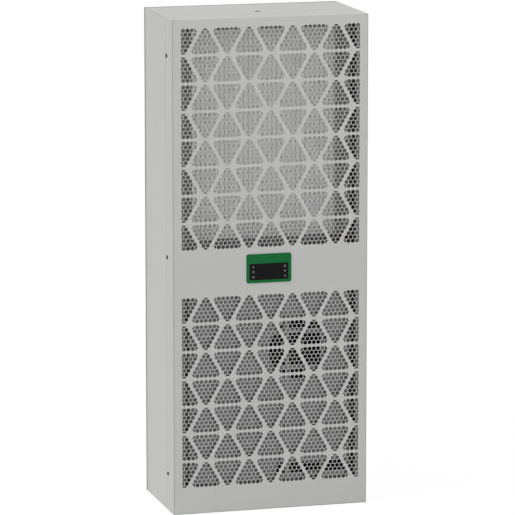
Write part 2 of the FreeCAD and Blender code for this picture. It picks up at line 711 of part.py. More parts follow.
def tray_section():
    """Closed outline of the folded fan tray, seen from above: plate, walls, ledges and brims."""
    front = [(FAN_BRIM_HALF, Y_FRAME), (STEP_HALF, Y_FRAME), (STEP_HALF, Y_STEP), (FAN_PLATE_HALF, Y_STEP),
             (FAN_PLATE_HALF, Y_PLATE)]
    wall = (0, SHEET, SHEET, SHEET, SHEET)
    back = [(x - thick, y + SHEET) for (x, y), thick in zip(front, wall)]
    right = front[::-1] + back
    left = [(-x, y) for x, y in right[::-1]]
    return [(x, y, FAN_PLATE_BOTTOM) for x, y in right + left]


def fan_plate():
    """Folded tray close behind the cover, with a brim in the plane of the chassis."""
    low = FAN_PLATE_BOTTOM
    top = FAN_PLATE_TOP
    plate = prism(tray_section(), V(0, 0, top - low))
    floor = block(-FAN_PLATE_HALF, FAN_PLATE_HALF, Y_PLATE, Y_FRAME_BACK, low, low + SHEET)
    floor = floor.fuse(block(-STEP_HALF, STEP_HALF, Y_STEP, Y_FRAME_BACK, low, low + SHEET))
    apron = block(-FAN_BRIM_HALF, FAN_BRIM_HALF, Y_FRAME, Y_FRAME_BACK, FLOOR, low + SHEET)
    foot = block(-STEP_HALF, STEP_HALF, Y_FRAME, Y_FRAME_BACK + FAN_PLATE_FOOT, FLOOR, FLOOR + SHEET)
    divider_front = Y_FRONT + SHEET + DIVIDER_GAP
    divider_half = HALF - DIVIDER_SIDE
    divider = block(-divider_half, divider_half, divider_front, Y_COIL_BACK + SHEET, top - SHEET, top)
    plate = plate.multiFuse([floor, apron, foot, divider])
    cuts = [rod(FAN_BORE, (FAN_X, Y_PLATE - 1, FAN_Z), 4, Y_AXIS)]
    cuts.append(block(SLOT_LEFT, SLOT_RIGHT, Y_PLATE - 1, Y_PLATE_BACK + 1, SLOT_BOTTOM, SLOT_TOP))
    for x, z in fan_screw_places():
        cuts.append(rod(SCREW_RADIUS + FIT, (x, Y_PLATE - 1, z), 4, Y_AXIS))
    save("fan_plate", plate.cut(Part.makeCompound(cuts)).removeSplitter())


def guard_grid():
    """Flat bars crossing in front of the fan opening and the slot, lying on the fan plate."""
    front = Y_PLATE - GRID_THICK
    half = FAN_PLATE_HALF - GRID_END
    low = FAN_PLATE_BOTTOM + GRID_END
    high = FAN_PLATE_TOP - SHEET - GRID_END
    bars = []
    for i in range(GRID_COLUMNS):
        x = (i - (GRID_COLUMNS - 1) / 2) * GRID_PITCH
        bars.append(block(x - GRID_BAR / 2, x + GRID_BAR / 2, front, Y_PLATE, low, high))
    for i in range(GRID_ROWS):
        z = GRID_FIRST_Z + i * GRID_PITCH
        bars.append(block(-half, half, front, Y_PLATE, z - GRID_BAR / 2, z + GRID_BAR / 2))
    save("guard_grid", bars[0].multiFuse(bars[1:]).removeSplitter())


def fan_screw_places():
    s = FAN_HOLE_SPACING / 2
    return [(FAN_X + sx * s, FAN_Z + sz * s) for sx in (-1, 1) for sz in (-1, 1)]


def condenser_fan():
    front = Y_PLATE_BACK
    back = front + FAN_DEPTH
    half = FAN_SIZE / 2

    def square(y0, y1):
        plate = block(FAN_X - half, FAN_X + half, y0, y1, FAN_Z - half, FAN_Z + half)
        return round_edges(plate, FAN_FLANGE, Y_AXIS)

    frame = square(front, front + FAN_FLANGE).fuse(square(back - FAN_FLANGE, back))
    frame = frame.fuse(rod(FAN_BORE + FAN_WALL, (FAN_X, front, FAN_Z), FAN_DEPTH, Y_AXIS))
    frame = frame.cut(rod(FAN_BORE, (FAN_X, front - 1, FAN_Z), FAN_DEPTH + 2, Y_AXIS))
    holes = [rod(SCREW_RADIUS + FIT, (x, front - 1, z), FAN_DEPTH + 2, Y_AXIS)
             for x, z in fan_screw_places()]
    frame = frame.cut(Part.makeCompound(holes))
    strut_front = back - STRUT_THICK
    reach = FAN_BORE + FAN_WALL / 2
    carrier = rod(FAN_HUB_RADIUS, (FAN_X, strut_front, FAN_Z), STRUT_THICK, Y_AXIS)
    for w, h in ((reach, STRUT_WIDTH / 2), (STRUT_WIDTH / 2, reach)):
        carrier = carrier.fuse(block(FAN_X - w, FAN_X + w, strut_front, back, FAN_Z - h, FAN_Z + h))
    hub_front = front + FAN_HUB_WALL
    hub_back = hub_front + FAN_HUB_LENGTH
    core_front = hub_front + 2 * FAN_HUB_WALL
    carrier = carrier.fuse(rod(STATOR_RADIUS, (FAN_X, core_front, FAN_Z), strut_front - core_front, Y_AXIS))
    frame = frame.fuse(carrier)
    frame = frame.cut(rod(FAN_SHAFT_RADIUS + RUNNING_GAP, (FAN_X, core_front - 1, FAN_Z), FAN_DEPTH, Y_AXIS))
    save("condenser_fan_frame", frame.removeSplitter())

    hub = rod(FAN_HUB_RADIUS, (FAN_X, hub_front, FAN_Z), FAN_HUB_LENGTH, Y_AXIS)
    cavity = rod(FAN_HUB_RADIUS - FAN_HUB_WALL, (FAN_X, hub_front + FAN_HUB_WALL, FAN_Z),
                 FAN_HUB_LENGTH, Y_AXIS)
    hub = hub.cut(cavity)
    shaft = rod(FAN_SHAFT_RADIUS, (FAN_X, hub_front, FAN_Z), back - hub_front, Y_AXIS)
    middle = (hub_front + hub_back) / 2
    swept = rod(FAN_BORE - FAN_TIP_GAP, (FAN_X, front, FAN_Z), FAN_DEPTH, Y_AXIS)
    blade = axial_blade(FAN_HUB_RADIUS - FAN_HUB_WALL / 2, FAN_BORE, middle).common(swept)
    blades = []
    for i in range(FAN_BLADES):
        copy = blade.copy()
        copy.rotate(V(FAN_X, 0, FAN_Z), Y_AXIS, 360.0 * i / FAN_BLADES)
        blades.append(copy)
    save("condenser_fan_rotor", hub.multiFuse([shaft] + blades).removeSplitter())
    screws = []
    for x, z in fan_screw_places():
        head = rod(SCREW_HEAD_RADIUS, (x, back, z), SCREW_HEAD_HEIGHT, Y_AXIS)
        screws.append(head.fuse(rod(SCREW_RADIUS, (x, Y_PLATE, z), back - Y_PLATE, Y_AXIS)))
    save("condenser_fan_screws", *screws)


def axial_blade(root, tip, middle):
    """Twisted blade between two slanted sections of the same axial length."""
    sections = []
    for radius, angle in ((root, BLADE_ROOT_ANGLE), (tip, BLADE_TIP_ANGLE)):
        sweep = BLADE_AXIAL_HALF / math.tan(math.radians(angle))
        section = []
        for side, end in ((-1, -1), (-1, 1), (1, 1), (1, -1)):
            x = FAN_X + end * sweep + side * BLADE_THICK / 2
            section.append(V(x, middle + end * BLADE_AXIAL_HALF, FAN_Z + radius))
        sections.append(Part.makePolygon(section + section[:1]))
    return Part.makeLoft(sections, True, True)


def bulkhead():
    wall = HALF_IN - SLIP
    lines = [rod(LINE_RADIUS + PASS_CLEARANCE, (DRIER_X, BULKHEAD_FRONT - 1, LINE_PASS_Z), 4, Y_AXIS)]
    plate = block(-wall, wall, BULKHEAD_FRONT, BULKHEAD_BACK, SHELF_BOTTOM, TOP_IN - SLIP)
    save("bulkhead", plate.cut(Part.makeCompound(lines)))
    shelf = block(-wall, wall, BULKHEAD_BACK, Y_REAR_IN - SLIP, SHELF_BOTTOM, SHELF_TOP)
    cuts = [rod(SUCTION_RADIUS + PASS_CLEARANCE, (SUCTION_X, evap_tube_front(), SHELF_BOTTOM - 1), 4, Z_AXIS)]
    cuts.append(rod(SPOUT_RADIUS + FIT, (SPOUT_X, SPOUT_Y, SHELF_BOTTOM - 1), 4, Z_AXIS))
    save("shelf", shelf.cut(Part.makeCompound(cuts)))
    foam = block(-FOAM_HALF, FOAM_HALF, BULKHEAD_BACK, BULKHEAD_BACK + FOAM_THICK, FOAM_BOTTOM, FOAM_TOP)
    hole = rod(MOTOR_BASE_RADIUS + SLIP, (0, BULKHEAD_BACK - 1, INLET_Z), FOAM_THICK + 2, Y_AXIS)
    save("bulkhead_insulation", foam.cut(hole))


def foot_places():
    places = []
    for angle in (90, 210, 330):
        turn = math.radians(angle)
        places.append((COMPRESSOR_X + FOOT_CIRCLE * math.cos(turn),
                       COMPRESSOR_Y + FOOT_CIRCLE * math.sin(turn)))
    return places


def compressor():
    shell = rod(SHELL_RADIUS, (COMPRESSOR_X, COMPRESSOR_Y, SHELL_Z), SHELL_HEIGHT, Z_AXIS)
    shell = round_rims(shell, SHELL_TOP_ROUND, SHELL_TOP)
    shell = round_rims(shell, SHELL_FOOT_ROUND, SHELL_Z)
    stub_at = (COMPRESSOR_X + DISCHARGE_OFFSET, COMPRESSOR_Y, SHELL_TOP - 1)
    shell = shell.fuse(rod(TUBE_RADIUS + SHEET, stub_at, DISCHARGE_STUB + 1, Z_AXIS))
    save("compressor_shell", shell)

    plate = rod(SHELL_RADIUS - SHELL_FOOT_ROUND, (COMPRESSOR_X, COMPRESSOR_Y, FOOT_Z), FOOT_THICK, Z_AXIS)
    holes = []
    grommets = []
    bolts = []
    for x, y in foot_places():
        arm = rod(FOOT_LOBE, (x, y, FOOT_Z), FOOT_THICK, Z_AXIS)
        along = V(x - COMPRESSOR_X, y - COMPRESSOR_Y, 0)
        across = V(-along.y, along.x, 0).normalize() * FOOT_LOBE
        corners = [V(x, y, FOOT_Z) + across, V(x, y, FOOT_Z) - across,
                   V(COMPRESSOR_X, COMPRESSOR_Y, FOOT_Z) - across,
                   V(COMPRESSOR_X, COMPRESSOR_Y, FOOT_Z) + across]
        arm = arm.fuse(prism([tuple(c) for c in corners], V(0, 0, FOOT_THICK)))
        plate = plate.fuse(arm)
        holes.append(rod(FOOT_BOLT_RADIUS + FIT, (x, y, FOOT_Z - 1), FOOT_THICK + 2, Z_AXIS))
        grommets.append(pipe(GROMMET_RADIUS, FOOT_BOLT_RADIUS + FIT, (x, y, FLOOR), GROMMET_HEIGHT, Z_AXIS))
        shank = rod(FOOT_BOLT_RADIUS, (x, y, FLOOR), SHELL_Z - FLOOR, Z_AXIS)
        bolts.append(shank.fuse(rod(FOOT_BOLT_HEAD, (x, y, SHELL_Z), FOOT_BOLT_HEAD_HEIGHT, Z_AXIS)))
    save("compressor_feet", plate.cut(Part.makeCompound(holes)).removeSplitter())
    save("compressor_grommets", *grommets)
    save("compressor_bolts", *bolts)

    cover = rod(TERMINAL_RADIUS, (COMPRESSOR_X + TERMINAL_OFFSET, COMPRESSOR_Y, SHELL_TOP),
                TERMINAL_HEIGHT, Z_AXIS)
    save("terminal_cover", round_rims(cover, SHEET, SHELL_TOP + TERMINAL_HEIGHT))

    x = ACCUMULATOR_X
    length = ACCUMULATOR_TOP - ACCUMULATOR_BOTTOM
    tank = rod(ACCUMULATOR_RADIUS, (x, COMPRESSOR_Y, ACCUMULATOR_BOTTOM), length, Z_AXIS)
    tank = round_rims(tank, ACCUMULATOR_ROUND, ACCUMULATOR_TOP)
    tank = round_rims(tank, ACCUMULATOR_ROUND, ACCUMULATOR_BOTTOM)
    shell_side = COMPRESSOR_X - SHELL_RADIUS - FIT
    strap_z = (ACCUMULATOR_BOTTOM + ACCUMULATOR_TOP) / 2
    strap = block(x, shell_side, COMPRESSOR_Y - FOOT_LOBE, COMPRESSOR_Y + FOOT_LOBE,
                  strap_z, strap_z + FOOT_LOBE)
    save("accumulator", tank.fuse(strap).removeSplitter())


def evap_tube_front():
    return EVAP_FRONT + EVAP_TUBE_INSET_Y


def evaporator():
    save("evaporator_fins", fin_block(EVAP_HALF, EVAP_FRONT, EVAP_BACK, EVAP_BOTTOM, EVAP_TOP, "y"))
    outer = EVAP_HALF + SHEET
    for side, node in ((-1, "evaporator_left_tube_sheet"), (1, "evaporator_right_tube_sheet")):
        x0, x1 = sorted((side * EVAP_HALF, side * outer))
        save(node, block(x0, x1, BULKHEAD_BACK, EVAP_BACK + SHEET_LAP,
                         EVAP_BOTTOM - SHEET_LAP, EVAP_TOP + SHEET_LAP))
    front = evap_tube_front()
    span_y = EVAP_BACK - EVAP_TUBE_INSET_Y - front
    low = EVAP_BOTTOM + EVAP_TUBE_INSET_Z
    high = EVAP_TOP - EVAP_TUBE_INSET_Z
    tubes = [u_bend((-outer, front, low), TUBE_RADIUS, (0, span_y, 0), X_AXIS * -1)]
    tubes.append(u_bend((outer, front + span_y, low), TUBE_RADIUS, (0, 0, high - low), X_AXIS))
    tubes.append(u_bend((-outer, front + span_y, high), TUBE_RADIUS, (0, -span_y, 0), X_AXIS * -1))
    for z in (low, high):
        tubes.append(rod(TUBE_RADIUS, (outer, front, z), TUBE_STUB, X_AXIS))
    save("evaporator_tubes", *tubes)


def evaporator_fan():
    centre = (0, BULKHEAD_BACK, INLET_Z)
    core_front = BULKHEAD_BACK + MOTOR_BASE_THICK
    core_back = IMPELLER_BACK - MOTOR_GAP
    motor = rod(MOTOR_BASE_RADIUS, centre, MOTOR_BASE_THICK, Y_AXIS)
    motor = motor.fuse(rod(MOTOR_CORE_RADIUS, (0, core_front, INLET_Z), core_back - core_front, Y_AXIS))
    bore = rod(IMPELLER_SHAFT_RADIUS + RUNNING_GAP, (0, core_front, INLET_Z), core_back, Y_AXIS)
    save("evaporator_fan_motor", motor.cut(bore))

    plate = rod(IMPELLER_RADIUS, (0, IMPELLER_BACK, INLET_Z), IMPELLER_PLATE, Y_AXIS)
    hub = rod(IMPELLER_HUB_RADIUS, (0, IMPELLER_BACK, INLET_Z), IMPELLER_HUB_LENGTH, Y_AXIS)
    shaft_start = core_front + MOTOR_GAP
    shaft = rod(IMPELLER_SHAFT_RADIUS, (0, shaft_start, INLET_Z), IMPELLER_BACK - shaft_start + 1, Y_AXIS)
    shroud = pipe(IMPELLER_RADIUS, IMPELLER_EYE, (0, IMPELLER_FRONT - IMPELLER_PLATE, INLET_Z),
                  IMPELLER_PLATE, Y_AXIS)
    blade = radial_blade()
    blades = []
    for i in range(IMPELLER_BLADES):
        copy = blade.copy()
        copy.rotate(V(*centre), Y_AXIS, 360.0 * i / IMPELLER_BLADES)
        blades.append(copy)
    save("evaporator_impeller", plate.multiFuse([hub, shaft, shroud] + blades).removeSplitter())

    profile = [V(THROAT_RADIUS, RING_FRONT, 0), V(INLET_RADIUS, Y_REAR_IN - RING_WALL, 0),
               V(RING_FLANGE, Y_REAR_IN - RING_WALL, 0), V(RING_FLANGE, Y_REAR_IN, 0),
               V(INLET_RADIUS, Y_REAR_IN, 0), V(THROAT_RADIUS - RING_WALL, RING_FRONT, 0)]
    face = Part.Face(Part.makePolygon(profile + profile[:1]))
    ring = face.revolve(V(0, 0, 0), Y_AXIS, 360)
    ring.translate(V(0, 0, INLET_Z))
    save("evaporator_inlet_ring", ring)


def radial_blade():
    """Backward-curved blade: an arc from the inner to the outer radius, extruded between the plates."""
    outer = IMPELLER_RADIUS - BLADE_THICK
    turn = math.radians(BLADE_LEAN_ANGLE)
    half_turn = turn * 0.45
    middle = (BLADE_INNER + outer) / 2
    points = [V(BLADE_INNER, 0, 0), V(middle * math.cos(half_turn), 0, middle * math.sin(half_turn)),
              V(outer * math.cos(turn), 0, outer * math.sin(turn))]
    near = Part.Arc(*points).toShape()
    centre = near.Curve.Center
    scale = 1 + BLADE_THICK / near.Curve.Radius
    backs = [centre + (p - centre) * scale for p in points]
    caps = [Part.makeLine(points[0], backs[0]), Part.makeLine(points[2], backs[2])]
    face = Part.Face(Part.Wire(Part.__sortEdges__([near, Part.Arc(*backs).toShape()] + caps)))
    length = IMPELLER_FRONT - IMPELLER_BACK - IMPELLER_PLATE
    return push(face, V(0, length, 0)).translated(V(0, IMPELLER_BACK + IMPELLER_PLATE / 2, INLET_Z))


def drain():
    tray = block(-TRAY_HALF, TRAY_HALF, TRAY_FRONT, TRAY_BACK, SHELF_TOP, SHELF_TOP + TRAY_HEIGHT)
    tray = tray.cut(block(-TRAY_HALF + SHEET, TRAY_HALF - SHEET, TRAY_FRONT + SHEET, TRAY_BACK - SHEET,
                          SHELF_TOP + SHEET, SHELF_TOP + TRAY_HEIGHT + 1))
    spout_bottom = SHELF_TOP - SPOUT_LENGTH
    tray = tray.fuse(rod(SPOUT_RADIUS, (SPOUT_X, SPOUT_Y, spout_bottom), SPOUT_LENGTH + SHEET, Z_AXIS))
    tray = tray.cut(rod(SPOUT_BORE, (SPOUT_X, SPOUT_Y, spout_bottom - 1),
                        SPOUT_LENGTH + 2 * SHEET + 1, Z_AXIS))
    save("drain_tray", tray.removeSplitter())
    nipple_seat = FLOOR + NIPPLE_FLANGE_THICK
    hose_bottom = nipple_seat + FIT
    hose_length = SHELF_BOTTOM - FIT - hose_bottom
    start = (SPOUT_X, SPOUT_Y, hose_bottom)
    save("drain_hose", pipe(HOSE_RADIUS, SPOUT_RADIUS + FIT, start, hose_length, Z_AXIS))
    nipple = rod(SPOUT_RADIUS, (SPOUT_X, SPOUT_Y, 0), nipple_seat + NIPPLE_LENGTH, Z_AXIS)
    nipple = nipple.fuse(rod(NIPPLE_FLANGE, (SPOUT_X, SPOUT_Y, FLOOR), NIPPLE_FLANGE_THICK, Z_AXIS))
    bore = rod(SPOUT_BORE, (SPOUT_X, SPOUT_Y, -1), nipple_seat + NIPPLE_LENGTH + 2, Z_AXIS)
    save("drain_nipple", nipple.cut(bore))


def refrigerant_lines():
    heights = coil_tube_heights()
    coil_end = COIL_HALF + SHEET + TUBE_STUB
    start_x = COMPRESSOR_X + DISCHARGE_OFFSET
    save("discharge_line", bent_tube([
        (start_x, COMPRESSOR_Y, SHELL_TOP + DISCHARGE_STUB), (start_x, COMPRESSOR_Y, DISCHARGE_Z),
        (start_x, DISCHARGE_Y, DISCHARGE_Z), (DISCHARGE_X, DISCHARGE_Y, DISCHARGE_Z),
        (DISCHARGE_X, DISCHARGE_Y, heights[0]), (DISCHARGE_X, COIL_TUBE_Y, heights[0]),
        (-coil_end, COIL_TUBE_Y, heights[0])], TUBE_RADIUS, TUBE_RADIUS * 2))
    save("liquid_line", bent_tube([
        (coil_end, COIL_TUBE_Y, heights[-1]), (DRIER_X, COIL_TUBE_Y, heights[-1]),
        (DRIER_X, COIL_TUBE_Y, DRIER_TOP + DRIER_NECK)], LINE_RADIUS))
    drier_bottom = DRIER_TOP - DRIER_LENGTH
    drier = rod(DRIER_RADIUS, (DRIER_X, COIL_TUBE_Y, drier_bottom), DRIER_LENGTH, Z_AXIS)
    drier = round_rims(drier, LINE_RADIUS, DRIER_TOP)
    drier = round_rims(drier, LINE_RADIUS, drier_bottom)
    neck = rod(LINE_RADIUS + SHEET / 2, (DRIER_X, COIL_TUBE_Y, drier_bottom - DRIER_NECK),
               DRIER_LENGTH + 2 * DRIER_NECK, Z_AXIS)
    save("filter_drier", drier.fuse(neck).removeSplitter())
    valve_top = drier_bottom - DRIER_NECK
    valve_bottom = valve_top - VALVE_HEIGHT
    valve = rod(VALVE_RADIUS, (DRIER_X, COIL_TUBE_Y, valve_bottom), VALVE_HEIGHT, Z_AXIS)
    cap_z = (valve_top + valve_bottom) / 2
    stem = rod(VALVE_RADIUS / 2, (DRIER_X, COIL_TUBE_Y, cap_z), VALVE_RADIUS + VALVE_NECK, Y_AXIS)
    cap = rod(VALVE_CAP_RADIUS, (DRIER_X, COIL_TUBE_Y + VALVE_RADIUS + VALVE_NECK, cap_z),
              VALVE_CAP_LENGTH, Y_AXIS)
    save("expansion_valve", valve.fuse(stem).fuse(cap).removeSplitter())
    tube_y = evap_tube_front()
    low = EVAP_BOTTOM + EVAP_TUBE_INSET_Z
    high = EVAP_TOP - EVAP_TUBE_INSET_Z
    evap_end = EVAP_HALF + SHEET + TUBE_STUB
    save("expansion_line", bent_tube([
        (DRIER_X, COIL_TUBE_Y, valve_bottom), (DRIER_X, COIL_TUBE_Y, LINE_PASS_Z),
        (DRIER_X, tube_y, LINE_PASS_Z), (DRIER_X, tube_y, low), (evap_end, tube_y, low)],
        LINE_RADIUS, LINE_RADIUS * 2))
    save("suction_line", bent_tube([
        (evap_end, tube_y, high), (SUCTION_X, tube_y, high), (SUCTION_X, tube_y, SUCTION_Z),
        (ACCUMULATOR_X, COMPRESSOR_Y, SUCTION_Z), (ACCUMULATOR_X, COMPRESSOR_Y, ACCUMULATOR_TOP)],
        SUCTION_RADIUS, SUCTION_RADIUS * 2))


def electrics():
    x0 = BOX_LEFT
    x1 = BOX_LEFT + BOX_WIDTH
    y1 = BOX_FRONT + BOX_DEPTH
    z1 = FLOOR + BOX_HEIGHT
    shell = block(x0, x1, BOX_FRONT, y1, FLOOR, z1)
    shell = shell.cut(block(x0 + SHEET, x1 - SHEET, BOX_FRONT - 1, y1 - SHEET, FLOOR + SHEET, z1 - SHEET))
    save("control_box", shell)
    save("control_box_lid", block(x0, x1, BOX_FRONT - SHEET, BOX_FRONT, FLOOR + SHEET, z1))
    back = y1 - SHEET
    middle = (x0 + x1) / 2
    block_z = FLOOR + TERMINAL_BLOCK_RISE
    strip = block(middle - TERMINAL_BLOCK_WIDTH / 2, middle + TERMINAL_BLOCK_WIDTH / 2,
                  back - TERMINAL_BLOCK_DEPTH, back, block_z, block_z + TERMINAL_BLOCK_HEIGHT)
    pole = TERMINAL_BLOCK_WIDTH / TERMINAL_POLES
    for i in range(TERMINAL_POLES):
        x = middle - TERMINAL_BLOCK_WIDTH / 2 + (i + 0.5) * pole
        start = (x, back - TERMINAL_BLOCK_DEPTH - 1, block_z + TERMINAL_BLOCK_HEIGHT / 2)
        strip = strip.cut(rod(pole / 4, start, TERMINAL_BLOCK_DEPTH / 2, Y_AXIS))
    save("terminal_block", strip)
    capacitor_y = back - CAPACITOR_RADIUS - CLAMP_THICK - FIT
    capacitor_x = x0 + CAPACITOR_INSET
    foot = FLOOR + SHEET
    can = rod(CAPACITOR_RADIUS, (capacitor_x, capacitor_y, foot), CAPACITOR_LENGTH, Z_AXIS)
    save("run_capacitor", round_rims(can, SHEET, foot + CAPACITOR_LENGTH))
    clamp_z = foot + (CAPACITOR_LENGTH - CLAMP_WIDTH) / 2
    clamp_bore = CAPACITOR_RADIUS + FIT
    clamp_foot = (capacitor_x, capacitor_y, clamp_z)
    clamp = pipe(clamp_bore + CLAMP_THICK, clamp_bore, clamp_foot, CLAMP_WIDTH, Z_AXIS)
    pad = block(capacitor_x - CLAMP_WIDTH, capacitor_x + CLAMP_WIDTH, back - CLAMP_THICK, back,
                clamp_z, clamp_z + CLAMP_WIDTH)
    save("capacitor_clamp", clamp.fuse(pad).removeSplitter())

    half_w = SOCKET_WIDTH / 2
    half_h = SOCKET_HEIGHT / 2
    flange_back = Y_REAR + SOCKET_FLANGE_THICK
    socket = block(SOCKET_X - half_w, SOCKET_X + half_w, flange_back - SOCKET_LENGTH, flange_back,
                   SOCKET_Z - half_h, SOCKET_Z + half_h)
    wide = half_w + SOCKET_FLANGE
    tall = half_h + SOCKET_FLANGE
    socket = socket.fuse(block(SOCKET_X - wide, SOCKET_X + wide, Y_REAR, flange_back,
                               SOCKET_Z - tall, SOCKET_Z + tall))
    socket = socket.cut(block(SOCKET_X - half_w + SOCKET_WALL, SOCKET_X + half_w - SOCKET_WALL,
                              flange_back - SOCKET_RECESS, flange_back + 1,
                              SOCKET_Z - half_h + SOCKET_WALL, SOCKET_Z + half_h - SOCKET_WALL))
    save("power_connector", socket.removeSplitter())


def main():
    os.makedirs("parts", exist_ok=True)
    casing = (front_cover, side_panels, top_panel, base_pan, rear_panel, rear_gasket, cover_seals,
              cover_screws, nuts, display)
    ambient_side = (condenser, fan_plate, guard_grid, condenser_fan, bulkhead, compressor)
    cabinet_side = (evaporator, evaporator_fan, drain, refrigerant_lines, electrics)
    for build in casing + ambient_side + cabinet_side:
        build()


main()
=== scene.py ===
"""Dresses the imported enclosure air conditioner: cover, fins, screws, keys, finishes and stage.

Metres, in the part's own frame: +X is the viewer's right, the grilles face -Y and +Z is up.
"""
import json
import math

import bpy
from bpy.props import FloatProperty, FloatVectorProperty, IntProperty, PointerProperty
from mathutils import Vector
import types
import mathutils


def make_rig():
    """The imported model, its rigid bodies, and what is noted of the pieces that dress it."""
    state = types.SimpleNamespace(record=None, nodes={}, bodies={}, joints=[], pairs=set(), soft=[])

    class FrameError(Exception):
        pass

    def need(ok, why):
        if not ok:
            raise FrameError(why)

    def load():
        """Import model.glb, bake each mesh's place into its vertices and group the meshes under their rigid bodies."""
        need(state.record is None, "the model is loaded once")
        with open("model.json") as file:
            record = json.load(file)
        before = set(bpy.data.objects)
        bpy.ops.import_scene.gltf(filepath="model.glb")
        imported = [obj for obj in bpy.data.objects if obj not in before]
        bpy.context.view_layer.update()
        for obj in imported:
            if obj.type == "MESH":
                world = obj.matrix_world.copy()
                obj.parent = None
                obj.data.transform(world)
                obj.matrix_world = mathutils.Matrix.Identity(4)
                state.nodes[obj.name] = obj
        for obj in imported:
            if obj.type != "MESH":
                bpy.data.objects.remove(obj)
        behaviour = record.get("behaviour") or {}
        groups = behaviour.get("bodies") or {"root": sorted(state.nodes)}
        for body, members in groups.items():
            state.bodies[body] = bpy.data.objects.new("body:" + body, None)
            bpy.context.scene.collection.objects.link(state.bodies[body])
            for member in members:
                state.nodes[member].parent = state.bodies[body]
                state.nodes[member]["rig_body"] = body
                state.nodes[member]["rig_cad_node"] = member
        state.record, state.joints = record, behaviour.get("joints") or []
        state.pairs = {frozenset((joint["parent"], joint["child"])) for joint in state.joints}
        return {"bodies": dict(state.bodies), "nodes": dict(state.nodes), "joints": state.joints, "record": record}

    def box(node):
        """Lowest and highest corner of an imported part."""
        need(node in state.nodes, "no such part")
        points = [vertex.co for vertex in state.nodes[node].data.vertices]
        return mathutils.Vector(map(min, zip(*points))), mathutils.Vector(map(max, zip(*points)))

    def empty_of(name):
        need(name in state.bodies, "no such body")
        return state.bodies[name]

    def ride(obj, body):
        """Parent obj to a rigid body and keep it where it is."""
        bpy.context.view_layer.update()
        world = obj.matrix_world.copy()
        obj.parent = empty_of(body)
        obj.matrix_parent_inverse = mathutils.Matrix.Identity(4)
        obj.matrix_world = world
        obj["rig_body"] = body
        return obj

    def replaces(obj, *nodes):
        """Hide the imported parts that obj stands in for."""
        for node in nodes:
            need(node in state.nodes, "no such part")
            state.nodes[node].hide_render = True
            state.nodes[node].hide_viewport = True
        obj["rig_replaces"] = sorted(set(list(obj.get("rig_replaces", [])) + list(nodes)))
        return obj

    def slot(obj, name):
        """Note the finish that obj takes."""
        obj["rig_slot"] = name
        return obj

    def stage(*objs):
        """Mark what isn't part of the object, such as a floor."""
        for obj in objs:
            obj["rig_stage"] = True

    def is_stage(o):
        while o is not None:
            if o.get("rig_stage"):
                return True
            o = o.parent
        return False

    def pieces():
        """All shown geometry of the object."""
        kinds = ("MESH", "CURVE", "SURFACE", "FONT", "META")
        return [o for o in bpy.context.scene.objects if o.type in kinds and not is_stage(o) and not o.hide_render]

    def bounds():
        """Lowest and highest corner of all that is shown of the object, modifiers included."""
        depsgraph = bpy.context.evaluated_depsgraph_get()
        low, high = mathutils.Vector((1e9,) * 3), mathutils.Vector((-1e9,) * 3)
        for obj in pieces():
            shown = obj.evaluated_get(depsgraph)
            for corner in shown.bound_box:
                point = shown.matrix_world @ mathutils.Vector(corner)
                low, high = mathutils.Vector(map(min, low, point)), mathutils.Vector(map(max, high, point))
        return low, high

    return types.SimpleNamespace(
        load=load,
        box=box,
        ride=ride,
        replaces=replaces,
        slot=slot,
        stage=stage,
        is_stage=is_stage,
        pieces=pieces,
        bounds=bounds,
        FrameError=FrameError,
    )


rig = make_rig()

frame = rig.load()
CAD_BOX = [list(corner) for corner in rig.bounds()]

bl_info = {
    "name": "Enclosure air conditioner",
    "version": (1, 0, 0),
    "blender": (4, 5, 0),
    "location": "View3D > Sidebar > Cooler",
    "description": "Perforated cover, fins, screws, keys, finishes and stage of a slim cooler",
    "category": "Add Mesh",
}

FRONT_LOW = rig.box("front_cover")[0]
FLANGES_LOW, FLANGES_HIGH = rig.box("cover_side_flanges")
COVER_LOW = Vector((FLANGES_LOW.x, FRONT_LOW.y, FLANGES_LOW.z))
COVER_HIGH = Vector(FLANGES_HIGH)
WINDOW_LOW, WINDOW_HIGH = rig.box("display_window")
SCREWS_LOW, SCREWS_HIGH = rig.box("cover_screws")
FINS_LOW, FINS_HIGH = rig.box("condenser_fins")
UPRIGHT = (math.pi / 2, 0, 0)
SIDEWAYS = (0, math.pi / 2, 0)
NEAR = 1e-5
MILLIMETRES = 1000
FINISH_MARK = "_finish"


def length(name, description, default):
    """A length in metres for one of the property groups."""
    return FloatProperty(name=name, description=description, default=default, unit="LENGTH",
                         precision=5)


def number(name, description, default):
    """A plain number for one of the property groups."""
    return FloatProperty(name=name, description=description, default=default)


def angle(name, description, degrees):
    """An angle for one of the property groups."""
    return FloatProperty(name=name, description=description, default=math.radians(degrees),
                         subtype="ANGLE")


def whole(name, description, default, least=1):
    """A whole number for one of the property groups."""
    return IntProperty(name=name, description=description, default=default, min=least)


def point(name, description, default, subtype="TRANSLATION"):
    """A place or a direction for one of the property groups."""
    return FloatVectorProperty(name=name, description=description, default=default, subtype=subtype)


def colour(name, description, default):
    """A linear colour for one of the property groups."""
    return FloatVectorProperty(name=name, description=description, default=default, size=3,
                               subtype="COLOR", min=0, max=1)


